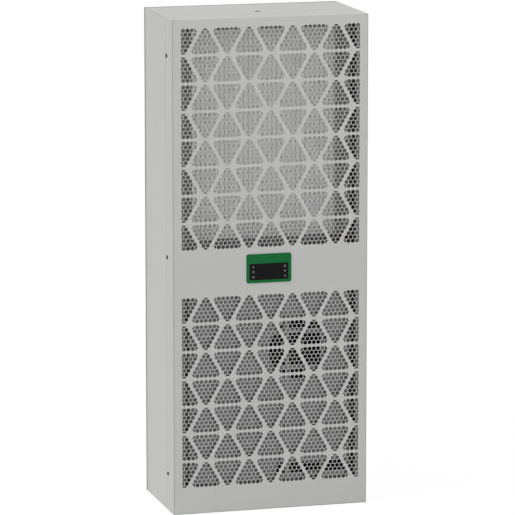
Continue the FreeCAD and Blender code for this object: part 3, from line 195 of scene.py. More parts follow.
class CoverSizes(bpy.types.PropertyGroup):
    """Sizes of the folded sheet cover and its grilles."""
    sheet: length("Sheet", "Thickness of the cover's sheet", 0.001)
    bend: length("Bend", "Outside radius of the cover's upright folds", 0.0025)
    bend_steps: whole("Bend steps", "Flats along a fold", 4)
    smooth: angle("Smooth angle", "Largest angle between faces that are shaded as one", 32)
    hole_pitch: length("Hole pitch", "Distance between neighbouring holes", 0.00891)
    hole_radius: length("Hole radius", "From the middle of a punched hole to its corners", 0.0042)
    hole_sides: whole("Hole sides", "Sides of a punched hole", 12, least=6)
    field_rows: whole("Field rows", "Rows of holes in a triangular field", 7, least=2)
    row_height: length("Row height", "Height of one row of fields", 0.0555)
    base_gap: length("Base gap", "Between the hole rows of fields that stand base to base", 0.0127)
    fields: whole("Fields", "Fields to each side of the middle one", 4)
    upper_top: length("Upper grille top", "Upper edge of the upper grille's first row", 0.97475)
    upper_rows: whole("Upper rows", "Rows of fields in the upper grille", 8)
    lower_rows: whole("Lower rows", "Rows of fields in the lower grille", 7)
    lower_top: length("Lower grille top", "Upper edge of the lower grille's first row", 0.43995)
    cutout_x: length("Cut-out middle", "Middle of the controller's cut-out across", -0.0044)
    cutout_width: length("Cut-out width", "Width of the controller's cut-out", 0.071)
    cutout_height: length("Cut-out height", "Height of the controller's cut-out", 0.029)
    slit_width: length("Slit width", "Width of the slit at an upper corner of the front", 0.003)
    slit_height: length("Slit height", "Height of the slit at an upper corner of the front", 0.0012)


class DetailSizes(bpy.types.PropertyGroup):
    """Sizes of the fins, screws and keys."""
    fin_group: length("Fin group", "Distance between the wide gaps of the coil's fins", 0.00977)
    fin_columns: whole("Fin columns", "Fins and gaps in one group", 9, least=9)
    wide_depth: length("Wide gap depth", "Depth of the wide gap between two groups of fins", 0.004)
    fin_depth: length("Fin depth", "Depth of the gap between two fins of a group", 0.0007)
    fin_lean: number("Fin lean", "Slope of the fins' louvres across the coil", -0.5)
    head_radius: length("Head radius", "Radius of a cover screw's head", 0.004)
    head_height: length("Head height", "Height of a cover screw's head", 0.0018)
    head_sides: whole("Head sides", "Flats round a screw head", 24, least=6)
    dome: number("Dome", "Share of a screw head's height that is domed", 0.45)
    dome_steps: whole("Dome steps", "Flats over the dome of a screw head", 4)
    shank_radius: length("Shank radius", "Radius of a cover screw's shank", 0.002)
    shank_length: length("Shank length", "Length of a cover screw's shank", 0.009)
    socket_radius: length("Socket radius", "Radius of the six-sided socket in a screw head", 0.0018)
    smooth: angle("Smooth angle", "Largest angle between a screw's faces shaded as one", 35)
    key_size: length("Key size", "Height of a printed key mark", 0.0044)
    key_line: length("Key line", "Thickness of the line in a key mark", 0.0006)
    key_print: length("Key print", "Thickness of the printed layer", 0.00004)
    key_left: length("Left keys", "Place of the left column of keys", -0.0366)
    key_right: length("Right keys", "Place of the right column of keys", 0.0284)


class Colours(bpy.types.PropertyGroup):
    """Colours of the finishes."""
    casing: colour("Casing", "Light grey powder coat", (0.52, 0.525, 0.512))
    plate: colour("Plates", "Galvanised sheet of the chassis", (0.34, 0.345, 0.35))
    fan_plate: colour("Fan plate", "Dull sheet behind the lower grille", (0.19, 0.192, 0.195))
    zinc: colour("Zinc", "Zinc plated steel", (0.42, 0.425, 0.43))
    grid: colour("Grid", "Dull zinc of the guard grid", (0.22, 0.222, 0.225))
    fins: colour("Fins", "Aluminium fin stock", (0.95, 0.952, 0.946))
    copper: colour("Copper", "Drawn copper tube", (0.72, 0.38, 0.24))
    brass: colour("Brass", "Turned brass", (0.7, 0.52, 0.26))
    dark_steel: colour("Dark steel", "Blackened steel of the screws", (0.04, 0.04, 0.04))
    black: colour("Black plastic", "Fan and other black mouldings", (0.007, 0.007, 0.0075))
    white: colour("White plastic", "Drain tray and other white mouldings", (0.72, 0.72, 0.7))
    bezel: colour("Bezel", "Green film round the display", (0.008, 0.14, 0.036))
    window: colour("Window", "Smoked window of the display", (0.007, 0.007, 0.007))
    keys: colour("Keys", "Grey print of the key marks", (0.36, 0.36, 0.36))
    seal: colour("Seal", "Closed-cell foam", (0.25, 0.25, 0.245))
    dark_seal: colour("Dark seal", "Foam beside the fan plate", (0.15, 0.15, 0.147))
    enamel: colour("Enamel", "Black enamel of the compressor", (0.02, 0.02, 0.022))
    rubber: colour("Rubber", "Moulded rubber", (0.03, 0.03, 0.03))
    floor: colour("Floor", "Pale studio floor", (0.9, 0.9, 0.9))


class StageSettings(bpy.types.PropertyGroup):
    """Camera, light and floor."""
    azimuth: angle("Azimuth", "Turn of the camera round the unit", -15.6)
    elevation: angle("Elevation", "Height of the camera over the horizon", 10.36)
    distance: length("Distance", "Camera to target", 7.94)
    lens: number("Lens", "Focal length in millimetres", 276.4)
    sensor: number("Sensor", "Width of the camera's sensor in millimetres", 36)
    reach: length("Reach", "Distance to which the camera sees", 100)
    target: point("Target", "Point in the middle of the picture", (0.0037, 0.00055, 0.4913))
    sky: number("Sky", "Strength of the even studio light", 0.42)
    lamp: number("Lamp", "Strength of the soft lamp at the upper left", 1.57)
    lamp_towards: point("Lamp direction", "From the unit towards the soft lamp",
                        (-0.592, -0.159, 0.79), subtype="DIRECTION")
    lamp_softness: angle("Lamp softness", "Apparent width of the soft lamp", 60)
    front: number("Front lamp", "Strength of the soft lamp in front", 0.48)
    front_towards: point("Front direction", "From the unit towards the front lamp",
                         (0.35, -0.93, 0.1), subtype="DIRECTION")
    front_softness: angle("Front softness", "Apparent width of the front lamp", 40)
    lamp_distance: length("Lamp distance", "From the origin to the soft lamps as drawn", 3)
    panel: number("Panel light", "Power of the light panel over the front", 1.2)
    panel_size: length("Panel size", "Width of the light panel over the front", 0.5)
    panel_place: point("Panel place", "Middle of the light panel", (0.35, -0.9, 1.55))
    floor_size: length("Floor size", "Width of the studio floor", 40)
    floor_drop: length("Floor drop", "Depth of the floor under the unit", 0.0005)
    floor_glow: number("Floor glow", "Strength of the floor's own light, for seen rays", 1.02)
    floor_share: number("Floor share", "Share of that light in what is seen of the floor", 0.94)


def deselect():
    bpy.ops.object.select_all(action="DESELECT")


def only(piece):
    """Makes one object the selected and active one."""
    deselect()
    piece.select_set(True)
    bpy.context.view_layer.objects.active = piece


def erase(pieces):
    deselect()
    for piece in pieces:
        piece.select_set(True)
    bpy.ops.object.delete()


def edit(piece):
    """Opens one object's mesh with nothing selected in it."""
    only(piece)
    bpy.ops.object.mode_set(mode="EDIT")
    bpy.ops.mesh.select_all(action="DESELECT")


def leave_edit():
    bpy.ops.object.mode_set(mode="OBJECT")


def choose(piece, kind, wanted):
    """In edit mode, selects the vertices, edges or faces for which wanted(points) is true."""
    bpy.ops.mesh.select_mode(type={"vertices": "VERT", "edges": "EDGE", "polygons": "FACE"}[kind])
    bpy.ops.mesh.select_all(action="DESELECT")
    leave_edit()
    mesh = piece.data
    for element in getattr(mesh, kind):
        corners = [element.index] if kind == "vertices" else element.vertices
        element.select = wanted([mesh.vertices[i].co for i in corners])
    bpy.ops.object.mode_set(mode="EDIT")


def extrude(offset):
    """In edit mode, draws the selection out by an offset."""
    bpy.ops.mesh.extrude_region_move(TRANSFORM_OT_translate={"value": offset})


def apply(piece, modifier):
    only(piece)
    bpy.ops.object.modifier_apply(modifier=modifier.name)


def settle(piece, name, body, slot, finish, *replaced):
    """Puts the piece's place into its mesh, names it and ties it to its body and finish."""
    only(piece)
    bpy.ops.object.transform_apply(location=True, rotation=True, scale=True)
    piece.name = name
    piece.data.name = name
    piece.data.materials.clear()
    piece.data.materials.append(finish)
    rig.ride(piece, body)
    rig.slot(piece, slot)
    if replaced:
        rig.replaces(piece, *replaced)


def join(pieces):
    deselect()
    for piece in pieces:
        piece.select_set(True)
    bpy.context.view_layer.objects.active = pieces[0]
    bpy.ops.object.join()
    return pieces[0]


def copy_to(piece, offset):
    """A copy with its own mesh, moved by an offset."""
    only(piece)
    bpy.ops.object.duplicate(linked=False)
    bpy.ops.transform.translate(value=offset)
    return bpy.context.object


class Wire:
    """A node's output that takes part in arithmetic: an expression adds its Math nodes."""

    def __init__(self, tree, socket):
        self.tree = tree
        self.socket = socket

    def operate(self, operation, first, second):
        return self.tree.node("ShaderNodeMath", {"operation": operation}, {0: first, 1: second})

    def __add__(self, other):
        return self.operate("ADD", self, other)

    def __radd__(self, other):
        return self.operate("ADD", other, self)

    def __mul__(self, other):
        return self.operate("MULTIPLY", self, other)

    def __rmul__(self, other):
        return self.operate("MULTIPLY", other, self)

    def __abs__(self):
        return self.operate("ABSOLUTE", self, 0.0)

    def most(self, other):
        """The larger of two values."""
        return self.operate("MAXIMUM", self, other)

    def ramp(self, start, end):
        """0 at start, 1 at end and clipped beyond them."""
        return self.tree.node("ShaderNodeMapRange",
                              inputs={"Value": self, "From Min": start, "From Max": end})


class Nodes:
    """Adds nodes to the tree of a material or of the world."""

    def __init__(self, tree):
        self.tree = tree

    def node(self, kind, settings=None, inputs=None, output=0):
        """Adds a node, its settings first and then its sockets, and gives one output."""
        node = self.tree.nodes.new(kind)
        for key, value in (settings or {}).items():
            setattr(node, key, value)
        for socket, value in (inputs or {}).items():
            self.feed(node.inputs[socket], value)
        return Wire(self, node.outputs[output])

    def feed(self, socket, value):
        """Links a wire to a socket, or sets a plain value on it."""
        if isinstance(value, Wire):
            self.tree.links.new(value.socket, socket)
        else:
            socket.default_value = value

    def seen(self):
        """1 where a ray comes straight from the camera, a mirror or glass."""
        rays = ("Is Camera Ray", "Is Glossy Ray", "Is Transmission Ray")
        camera, mirror, glass = (self.node("ShaderNodeLightPath", output=ray) for ray in rays)
        return camera.most(mirror.most(glass))


class Finish(Nodes):
    """A material under construction."""

    def __init__(self, name, **constants):
        self.material = bpy.data.materials.new(name)
        self.material.use_nodes = True
        super().__init__(self.material.node_tree)
        self.shader = self.tree.nodes["Principled BSDF"]
        self.drive(**constants)

    def drive(self, **inputs):
        """Feeds the shader's sockets, which are named with _ in place of spaces."""
        for socket, value in inputs.items():
            self.feed(self.shader.inputs[socket.replace("_", " ")], value)
        return self.material

    def place(self, stretch=(1, 1, 1)):
        where = self.node("ShaderNodeTexCoord", output="Object")
        return self.node("ShaderNodeMapping", inputs={"Vector": where, "Scale": stretch})

    def axis(self, name):
        """One of the object coordinates X, Y and Z."""
        where = self.node("ShaderNodeTexCoord", output="Object")
        return self.node("ShaderNodeSeparateXYZ", inputs={0: where}, output=name)

    def noise(self, scale, detail, stretch=(1, 1, 1)):
        return self.node("ShaderNodeTexNoise",
                         inputs={"Vector": self.place(stretch), "Scale": scale, "Detail": detail})

    def cells(self, scale):
        """A random grey for each cell of a pattern."""
        tone = self.node("ShaderNodeTexVoronoi", inputs={"Vector": self.place(), "Scale": scale},
                         output="Color")
        return self.node("ShaderNodeRGBToBW", inputs={0: tone})

    def blend(self, factor, first, second):
        first, second = (shade if isinstance(shade, Wire) else (*shade, 1)
                         for shade in (first, second))
        return self.node("ShaderNodeMix", {"data_type": "RGBA"},
                         {0: factor, 6: first, 7: second}, output=2)

    def mottle(self, factor, shade, dark, pale):
        """One colour that goes from a darker tint to a paler one."""
        return self.blend(factor, tint(shade, dark), tint(shade, pale))

    def bump(self, height, distance, strength=1.0):
        return self.node("ShaderNodeBump",
                         inputs={"Strength": strength, "Distance": distance, "Height": height})


def tint(shade, factor):
    return tuple(min(1.0, channel * factor) for channel in shade)


def powder_coat(name, shade, bend):
    """Satin powder coat: fine orange peel and a slow drift, with painted shade on the front's upright folds and a
    painted line of shade along the lower edge.
    """
    finish = Finish(name)
    peel = finish.noise(scale=900, detail=1.0)
    drift = finish.noise(scale=5, detail=3.0)
    coat = finish.mottle(drift, shade, dark=0.985, pale=1.015)
    x, y, z = (finish.axis(letter) for letter in "XYZ")
    # Painted shade: fold marks the front's upright folds and foot a thin band along the lower edge, where the coat is
    # blended towards a dark tint of itself
    fold = abs(x).ramp(COVER_HIGH.x - bend, COVER_HIGH.x) * y.ramp(COVER_LOW.y + bend, COVER_LOW.y)
    foot = z.ramp(COVER_LOW.z + bend, COVER_LOW.z)
    return finish.drive(Base_Color=finish.blend(fold + 0.6 * foot, coat, tint(shade, 0.35)),
                        Roughness=0.42 + 0.16 * peel,
                        Normal=finish.bump(peel, distance=0.00012, strength=0.35))


def galvanised(name, shade, metal=0.35):
    """Zinc-coated sheet with a faint spangle."""
    finish = Finish(name, Metallic=metal)
    spangle = finish.cells(scale=90)
    scratch = finish.noise(scale=60, detail=4.0, stretch=(1, 1, 9))
    return finish.drive(Base_Color=finish.mottle(spangle, shade, dark=0.92, pale=1.07),
                        Roughness=0.38 + 0.14 * spangle + 0.08 * scratch,
                        Normal=finish.bump(scratch, distance=0.00005, strength=0.3))


def fin_stock(name, shade, lean=0.0):
    """Aluminium fins, streaked along their length, whose louvres lean to one side."""
    finish = Finish(name, Metallic=0.15)
    streak = finish.noise(scale=70, detail=3.0, stretch=(6, 1, 0.1))
    dust = finish.noise(scale=40, detail=3.0)
    slope = finish.axis("X") * (lean * MILLIMETRES)
    return finish.drive(Base_Color=finish.mottle(streak, shade, dark=0.85, pale=1.08),
                        Roughness=0.4 + 0.2 * dust,
                        Normal=finish.bump(slope, distance=1 / MILLIMETRES))


def drawn_metal(name, shade, metal=1.0, rough=0.28):
    """Drawn or turned metal with handling marks and a light tarnish."""
    finish = Finish(name, Metallic=metal)
    tarnish = finish.noise(scale=28, detail=4.0)
    marks = finish.noise(scale=400, detail=2.0, stretch=(1, 1, 6))
    return finish.drive(Base_Color=finish.mottle(tarnish, shade, dark=0.72, pale=1.1),
                        Roughness=rough + 0.22 * tarnish,
                        Normal=finish.bump(marks, distance=0.00004, strength=0.4))


def moulding(name, shade, rough, shine=0.4):
    """Moulded plastic with a fine spark-eroded grain."""
    finish = Finish(name, Specular_IOR_Level=shine)
    grain = finish.noise(scale=1800, detail=1.0)
    drift = finish.noise(scale=14, detail=2.0)
    return finish.drive(Base_Color=finish.mottle(drift, shade, dark=0.9, pale=1.1),
                        Roughness=rough + 0.15 * grain,
                        Normal=finish.bump(grain, distance=0.00006, strength=0.4))


def film(name, shade, rough):
    """Printed film behind a thin clear skin."""
    finish = Finish(name, Specular_IOR_Level=0.07)
    weave = finish.noise(scale=1500, detail=1.0)
    smear = finish.noise(scale=35, detail=3.0)
    return finish.drive(Base_Color=finish.mottle(smear, shade, dark=0.94, pale=1.06),
                        Roughness=rough + 0.12 * smear,
                        Normal=finish.bump(weave, distance=0.00002, strength=0.25))


def foam(name, shade):
    """Closed-cell foam strip with open pores on its cut faces."""
    finish = Finish(name, Roughness=0.9)
    pores = finish.noise(scale=900, detail=3.0)
    patch = finish.noise(scale=60, detail=2.0)
    speckle = patch * 0.5 + pores * 0.5
    return finish.drive(Base_Color=finish.mottle(speckle, shade, dark=0.6, pale=1.3),
                        Normal=finish.bump(pores, distance=0.0006, strength=0.6))


def enamel(name, shade):
    """Glossy enamel with runs and dust."""
    finish = Finish(name, Coat_Weight=0.4, Coat_Roughness=0.2)
    runs = finish.noise(scale=30, detail=3.0, stretch=(3, 3, 0.6))
    return finish.drive(Base_Color=finish.mottle(runs, shade, dark=0.8, pale=1.6),
                        Roughness=0.3 + 0.25 * runs,
                        Normal=finish.bump(runs, distance=0.0004, strength=0.3))


def finishes(scene):
    """Every finish by the name of its slot, or of the one node that has it, made once.

    Its material has a mark in its name, because the frame brings materials named after the slots.
    """
    colours = scene.cooler_colours
    recipes = {
        "casing_paint": (powder_coat, colours.casing, {"bend": scene.cooler_cover.bend}),
        "plate_paint": (galvanised, colours.plate, {}),
        "fan_plate": (galvanised, colours.fan_plate, {}),
        "zinc_steel": (galvanised, colours.zinc, {"metal": 0.6}),
        "grid_zinc": (galvanised, colours.grid, {}),
        "fin_aluminium": (fin_stock, colours.fins, {}),
        "condenser_fins": (fin_stock, colours.fins, {"lean": scene.cooler_details.fin_lean}),
        "copper": (drawn_metal, colours.copper, {}),
        "brass_body": (drawn_metal, colours.brass, {"rough": 0.32}),
        "dark_steel": (drawn_metal, colours.dark_steel, {"metal": 0.4, "rough": 0.4}),
        "black_plastic": (moulding, colours.black, {"rough": 0.55, "shine": 0.15}),
        "white_plastic": (moulding, colours.white, {"rough": 0.4}),
        "display_green": (film, colours.bezel, {"rough": 0.3}),
        "display_black": (film, colours.window, {"rough": 0.2}),
        "seal_foam": (foam, colours.seal, {}),
        "dark_foam": (foam, colours.dark_seal, {}),
        "compressor_black": (enamel, colours.enamel, {}),
        "rubber": (moulding, colours.rubber, {"rough": 0.6}),
    }
    for key, (recipe, shade, options) in recipes.items():
        if key + FINISH_MARK not in bpy.data.materials:
            recipe(key + FINISH_MARK, shade, **options)
    return {key: bpy.data.materials[key + FINISH_MARK] for key in recipes}


class HoleField:
    """Places of the punched holes in one triangular field of a grille."""

    # Hole pitches that the gap to the next field adds to a field's base
    MARGIN = 3

    def __init__(self, sizes, centre, points_down):
        self.sizes = sizes
        self.centre = centre
        self.down = points_down
        self.row_pitch = sizes.hole_pitch * math.sqrt(3) / 2

    def holes(self):
        """Each hole's place and whether it is one of the three halved corner holes."""
        for row in range(self.sizes.field_rows):
            count = self.sizes.field_rows - row
            z = self.level(row)
            for place in range(count):
                x = self.centre + (place - (count - 1) / 2) * self.sizes.hole_pitch
                at_end = place in (0, count - 1)
                yield Vector((x, 0, z)), at_end and row in (0, self.sizes.field_rows - 1)

    def level(self, row):
        """Height of a hole row, counted from the field's base, over the foot of the fields."""
        up = self.sizes.base_gap / 2 + row * self.row_pitch
        return self.sizes.row_height - up if self.down else up

    def middle(self):
        """Centre of the triangle, a third of its height over its base."""
        return Vector((self.centre, 0, self.level((self.sizes.field_rows - 1) / 3)))


def punch(sizes, place):
    bpy.ops.mesh.primitive_circle_add(vertices=sizes.hole_sides, radius=sizes.hole_radius,
                                      fill_type="NGON", location=place, rotation=UPRIGHT)


def start_sheet(width, low, high):
    """A plain upright rectangle at y = 0, left in edit mode."""
    deselect()
    bpy.ops.mesh.primitive_plane_add(size=1, location=(0, 0, (low + high) / 2), rotation=UPRIGHT)
    sheet = bpy.context.object
    bpy.ops.object.mode_set(mode="EDIT")
    bpy.ops.transform.resize(value=(width, 1, high - low))
    return sheet


def close_sheet(sheet):
    """Turns the outlines drawn in the sheet into one filled face with holes."""
    bpy.ops.mesh.select_all(action="SELECT")
    bpy.ops.mesh.delete(type="ONLY_FACE")
    bpy.ops.mesh.select_all(action="SELECT")
    bpy.ops.mesh.fill(use_beauty=False)
    leave_edit()
    return sheet


def perforated_row(sizes, width, first_down):
    """One row of triangular fields, standing at z = 0."""
    step = sizes.hole_pitch * (sizes.field_rows + HoleField.MARGIN) / 2
    limit = sizes.fields * step + sizes.hole_radius
    sheet = start_sheet(width, 0, sizes.row_height)
    for column in range(-sizes.fields, sizes.fields + 1):
        field = HoleField(sizes, column * step, (column % 2 == 0) == first_down)
        for place, halved in field.holes():
            if abs(place.x) - sizes.hole_radius > limit - NEAR:
                continue
            bpy.ops.mesh.select_all(action="DESELECT")
            punch(sizes, place)
            if halved:
                inward = (field.middle() - place).normalized()
                bpy.ops.mesh.bisect(plane_co=place, plane_no=inward, clear_inner=True)
            if abs(place.x) + sizes.hole_radius > limit + NEAR:
                side = math.copysign(1, place.x)
                bpy.ops.mesh.select_linked()
                bpy.ops.mesh.bisect(plane_co=(side * limit, 0, 0), plane_no=(side, 0, 0),
                                    clear_outer=True)
    return close_sheet(sheet)


def plain_band(width, low, high, *cutouts):
    """A plain band of the front, with a rectangular hole for each cut-out."""
    sheet = start_sheet(width, low, high)
    for middle, across, tall in cutouts:
        bpy.ops.mesh.select_all(action="DESELECT")
        bpy.ops.mesh.primitive_plane_add(size=1, location=middle, rotation=UPRIGHT)
        bpy.ops.transform.resize(value=(across, 1, tall))
    return close_sheet(sheet)


class COOLER_OT_cover(bpy.types.Operator):
    """Fold the front cover and punch every round hole of its grilles"""
    bl_idname = "cooler.cover"
    bl_label = "Perforated cover"

    def execute(self, context):
        sizes = context.scene.cooler_cover
        finish = finishes(context.scene)["casing_paint"]
        width = COVER_HIGH.x - COVER_LOW.x - 2 * sizes.bend
        front = self.front_sheet(sizes, width)
        only(front)
        bpy.ops.transform.translate(value=(0, COVER_LOW.y, 0))
        bpy.ops.object.transform_apply(location=True, rotation=True, scale=True)
        edit(front)
        bpy.ops.mesh.select_all(action="SELECT")
        bpy.ops.mesh.remove_doubles(threshold=NEAR)
        for side in (-1, 1):
            self.fold(front, sizes, side, width / 2)
        for level in (COVER_LOW.z, COVER_HIGH.z):
            choose(front, "vertices", lambda points: abs(points[0].z - level) < NEAR)
            bpy.ops.mesh.edge_face_add()
        bpy.ops.mesh.select_all(action="SELECT")
        bpy.ops.mesh.normals_make_consistent(inside=False)
        leave_edit()
        self.face_forward(front)
        wall = front.modifiers.new("Sheet", "SOLIDIFY")
        wall.thickness = sizes.sheet
        wall.offset = -1
        apply(front, wall)
        bpy.ops.object.shade_smooth_by_angle(angle=sizes.smooth)
        settle(front, "perforated_cover", "casing", "casing_paint", finish,
               "front_cover", "cover_side_flanges", "cover_end_flanges")
        return {"FINISHED"}

    def front_sheet(self, sizes, width):
        """Both grilles and the plain bands round them, flat at y = 0."""
        rows = {down: perforated_row(sizes, width, down) for down in (True, False)}
        grilles = ((sizes.upper_top, sizes.upper_rows), (sizes.lower_top, sizes.lower_rows))
        sheets = []
        for top, count in grilles:
            for row in range(count):
                foot = top - (row + 1) * sizes.row_height
                sheets.append(copy_to(rows[row % 2 == 0], (0, 0, foot)))
        erase(rows.values())
        upper_bottom = sizes.upper_top - sizes.upper_rows * sizes.row_height
        lower_bottom = sizes.lower_top - sizes.lower_rows * sizes.row_height
        window = (WINDOW_LOW + WINDOW_HIGH) / 2
        cutout = (Vector((sizes.cutout_x, 0, window.z)), sizes.cutout_width, sizes.cutout_height)
        slit_x = width / 2 - sizes.slit_width
        slit_z = COVER_HIGH.z - sizes.slit_height
        slits = [(Vector((x, 0, slit_z)), sizes.slit_width, sizes.slit_height)
                 for x in (-slit_x, slit_x)]
        sheets.append(plain_band(width, sizes.upper_top, COVER_HIGH.z, *slits))
        sheets.append(plain_band(width, sizes.lower_top, upper_bottom, cutout))
        sheets.append(plain_band(width, COVER_LOW.z, lower_bottom))
        return join(sheets)

    def fold(self, front, sizes, side, edge):
        """Rolls one upright edge of the front back into its flange."""
        choose(front, "edges", lambda points: all(abs(p.x - side * edge) < NEAR for p in points))
        turn = math.pi / 2 / sizes.bend_steps
        for step in range(sizes.bend_steps):
            across = math.sin((step + 1) * turn) - math.sin(step * turn)
            back = math.cos(step * turn) - math.cos((step + 1) * turn)
            extrude((side * sizes.bend * across, sizes.bend * back, 0))
        extrude((0, COVER_HIGH.y - COVER_LOW.y - sizes.bend, 0))

    def face_forward(self, front):
        """Turns the whole shell over if its front looks inwards."""
        flat = next(face for face in front.data.polygons if face.center.y < COVER_LOW.y + NEAR)
        if flat.normal.y > 0:
            edit(front)
            bpy.ops.mesh.select_all(action="SELECT")
            bpy.ops.mesh.flip_normals()
            leave_edit()


class COOLER_OT_fins(bpy.types.Operator):
    """Fold the condenser's fins, seen through the upper grille"""
    bl_idname = "cooler.fins"
    bl_label = "Condenser fins"

    # Columns of a group that are set back
    WIDE = (6, 7)
    NARROW = (0, 2, 4)

    def execute(self, context):
        sizes = context.scene.cooler_details
        finish = finishes(context.scene)["condenser_fins"]
        middle = (FINS_LOW + FINS_HIGH) / 2
        size = FINS_HIGH - FINS_LOW
        deselect()
        bpy.ops.mesh.primitive_cube_add(size=1, location=middle)
        pack = bpy.context.object
        bpy.ops.object.mode_set(mode="EDIT")
        bpy.ops.transform.resize(value=size)
        leave_edit()
        only(pack)
        bpy.ops.object.transform_apply(location=True)
        groups = round(size.x / sizes.fin_group)
        edit(pack)
        for parts in (groups, sizes.fin_columns):
            choose(pack, "edges", lambda points: abs(points[0].x - points[1].x) > NEAR)
            bpy.ops.mesh.subdivide(number_cuts=parts - 1)
        width = size.x / (groups * sizes.fin_columns)
        for face_y, back in ((FINS_LOW.y, 1), (FINS_HIGH.y, -1)):
            for places, depth in ((self.WIDE, sizes.wide_depth), (self.NARROW, sizes.fin_depth)):
                choose(pack, "polygons", lambda points:
                       self.column(points, face_y, width) % sizes.fin_columns in places)
                extrude((0, back * depth, 0))
        leave_edit()
        settle(pack, "condenser_fin_pack", "casing", "fin_aluminium", finish, "condenser_fins")
        return {"FINISHED"}

    def column(self, points, face_y, width):
        """Number of the column that a face belongs to, or -1 away from the side at face_y."""
        if any(abs(p.y - face_y) > NEAR for p in points):
            return -1
        centre = sum(p.x for p in points) / len(points)
        return int((centre - FINS_LOW.x) / width)


class COOLER_OT_screws(bpy.types.Operator):
    """Turn the cover screws with their domed heads and sockets"""
    bl_idname = "cooler.screws"
    bl_label = "Cover screws"

    SOCKET_SIDES = 6
    # Levels further apart than this many head radii belong to two screws
    APART = 4

    def execute(self, context):
        sizes = context.scene.cooler_details
        finish = finishes(context.scene)["dark_steel"]
        first = self.screw(sizes)
        middle_y = (SCREWS_LOW.y + SCREWS_HIGH.y) / 2
        heights = self.heights(sizes)
        made = []
        for side, turn in ((1, 0), (-1, math.pi)):
            for z in heights:
                screw = copy_to(first, (side * COVER_HIGH.x, middle_y, z))
                screw.rotation_euler = (0, 0, turn)
                bpy.ops.object.transform_apply(location=True, rotation=True)
                made.append(screw)
        erase([first])
        screws = join(made)
        only(screws)
        bpy.ops.object.shade_smooth_by_angle(angle=sizes.smooth)
        settle(screws, "cover_screw_heads", "casing", "dark_steel", finish, "cover_screws")
        return {"FINISHED"}

    def heights(self, sizes):
        """Levels of the screws, read from the tops of their heads in the frame."""
        node = frame["nodes"]["cover_screws"]
        levels = sorted({round(v.co.z, 5) for v in node.data.vertices
                         if v.co.x > SCREWS_HIGH.x - NEAR})
        groups = []
        for level in levels:
            if groups and level - groups[-1][-1] < self.APART * sizes.head_radius:
                groups[-1].append(level)
            else:
                groups.append([level])
        return [(group[0] + group[-1]) / 2 for group in groups]

    def screw(self, sizes):
        """One screw along +X, its head's seat at x = 0."""
        height = sizes.head_height
        screw = self.rod(sizes.head_sides, sizes.head_radius, height, height / 2)
        bpy.ops.object.transform_apply(location=True, rotation=True)
        edit(screw)
        choose(screw, "polygons", lambda points: all(p.x > height - NEAR for p in points))
        bpy.ops.mesh.bevel(offset=height * sizes.dome, segments=sizes.dome_steps, affect="EDGES")
        choose(screw, "polygons", lambda points: all(p.x < NEAR for p in points))
        bpy.ops.mesh.inset(thickness=sizes.head_radius - sizes.shank_radius)
        extrude((-sizes.shank_length, 0, 0))
        leave_edit()
        key = self.rod(self.SOCKET_SIDES, sizes.socket_radius, height, height)
        socket = screw.modifiers.new("Socket", "BOOLEAN")
        socket.object = key
        apply(screw, socket)
        erase([key])
        return screw

    def rod(self, sides, radius, depth, x):
        """A cylinder along X with its middle at x."""
        deselect()
        bpy.ops.mesh.primitive_cylinder_add(vertices=sides, radius=radius, depth=depth,
                                            location=(x, 0, 0), rotation=SIDEWAYS)
        return bpy.context.object


class COOLER_OT_keys(bpy.types.Operator):
    """Lay plain printed key marks on the display window"""
    bl_idname = "cooler.keys"
    bl_label = "Key marks"

    # Heights of the keys over the window's middle, and the sides of each mark from the top down
    RISES = (0.0098, 0.0003, -0.0099)
    TRIANGLE, SQUARE, RING = 3, 4, 32
    LEFT = (TRIANGLE, RING, SQUARE)
    RIGHT = (RING, SQUARE, TRIANGLE)

    def execute(self, context):
        sizes = context.scene.cooler_details
        colours = context.scene.cooler_colours
        finish = bpy.data.materials.get("key_print") or film("key_print", colours.keys, rough=0.4)
        middle_z = (WINDOW_LOW.z + WINDOW_HIGH.z) / 2
        marks = []
        for x, shapes in ((sizes.key_left, self.LEFT), (sizes.key_right, self.RIGHT)):
            for rise, sides in zip(self.RISES, shapes):
                marks.append(self.mark(sizes, (x, WINDOW_LOW.y, middle_z + rise), sides))
        keys = join(marks)
        settle(keys, "key_marks", "casing", "display_black", finish)
        return {"FINISHED"}

    def mark(self, sizes, place, sides):
        """An outlined triangle, square or ring, half sunk in the window's face."""
        deselect()
        bpy.ops.mesh.primitive_circle_add(vertices=sides, radius=sizes.key_size / 2,
                                          fill_type="NGON", location=place, rotation=UPRIGHT)
        mark = bpy.context.object
        bpy.ops.object.transform_apply(location=True, rotation=True)
        edit(mark)
        bpy.ops.mesh.select_all(action="SELECT")
        bpy.ops.mesh.inset(thickness=sizes.key_line)
        bpy.ops.mesh.delete(type="FACE")
        leave_edit()
        layer = mark.modifiers.new("Print", "SOLIDIFY")
        layer.thickness = sizes.key_print
        layer.offset = 0
        apply(mark, layer)
        return mark


class COOLER_OT_finishes(bpy.types.Operator):
    """Give every carried-over node the finish of its slot"""
    bl_idname = "cooler.finishes"
    bl_label = "Finishes"

    def execute(self, context):
        made = finishes(context.scene)
        for part in frame["record"]["subparts"]:
            mesh = frame["nodes"][part["node"]].data
            mesh.materials.clear()
            mesh.materials.append(made.get(part["node"], made[part["material_slot"]]))
        return {"FINISHED"}


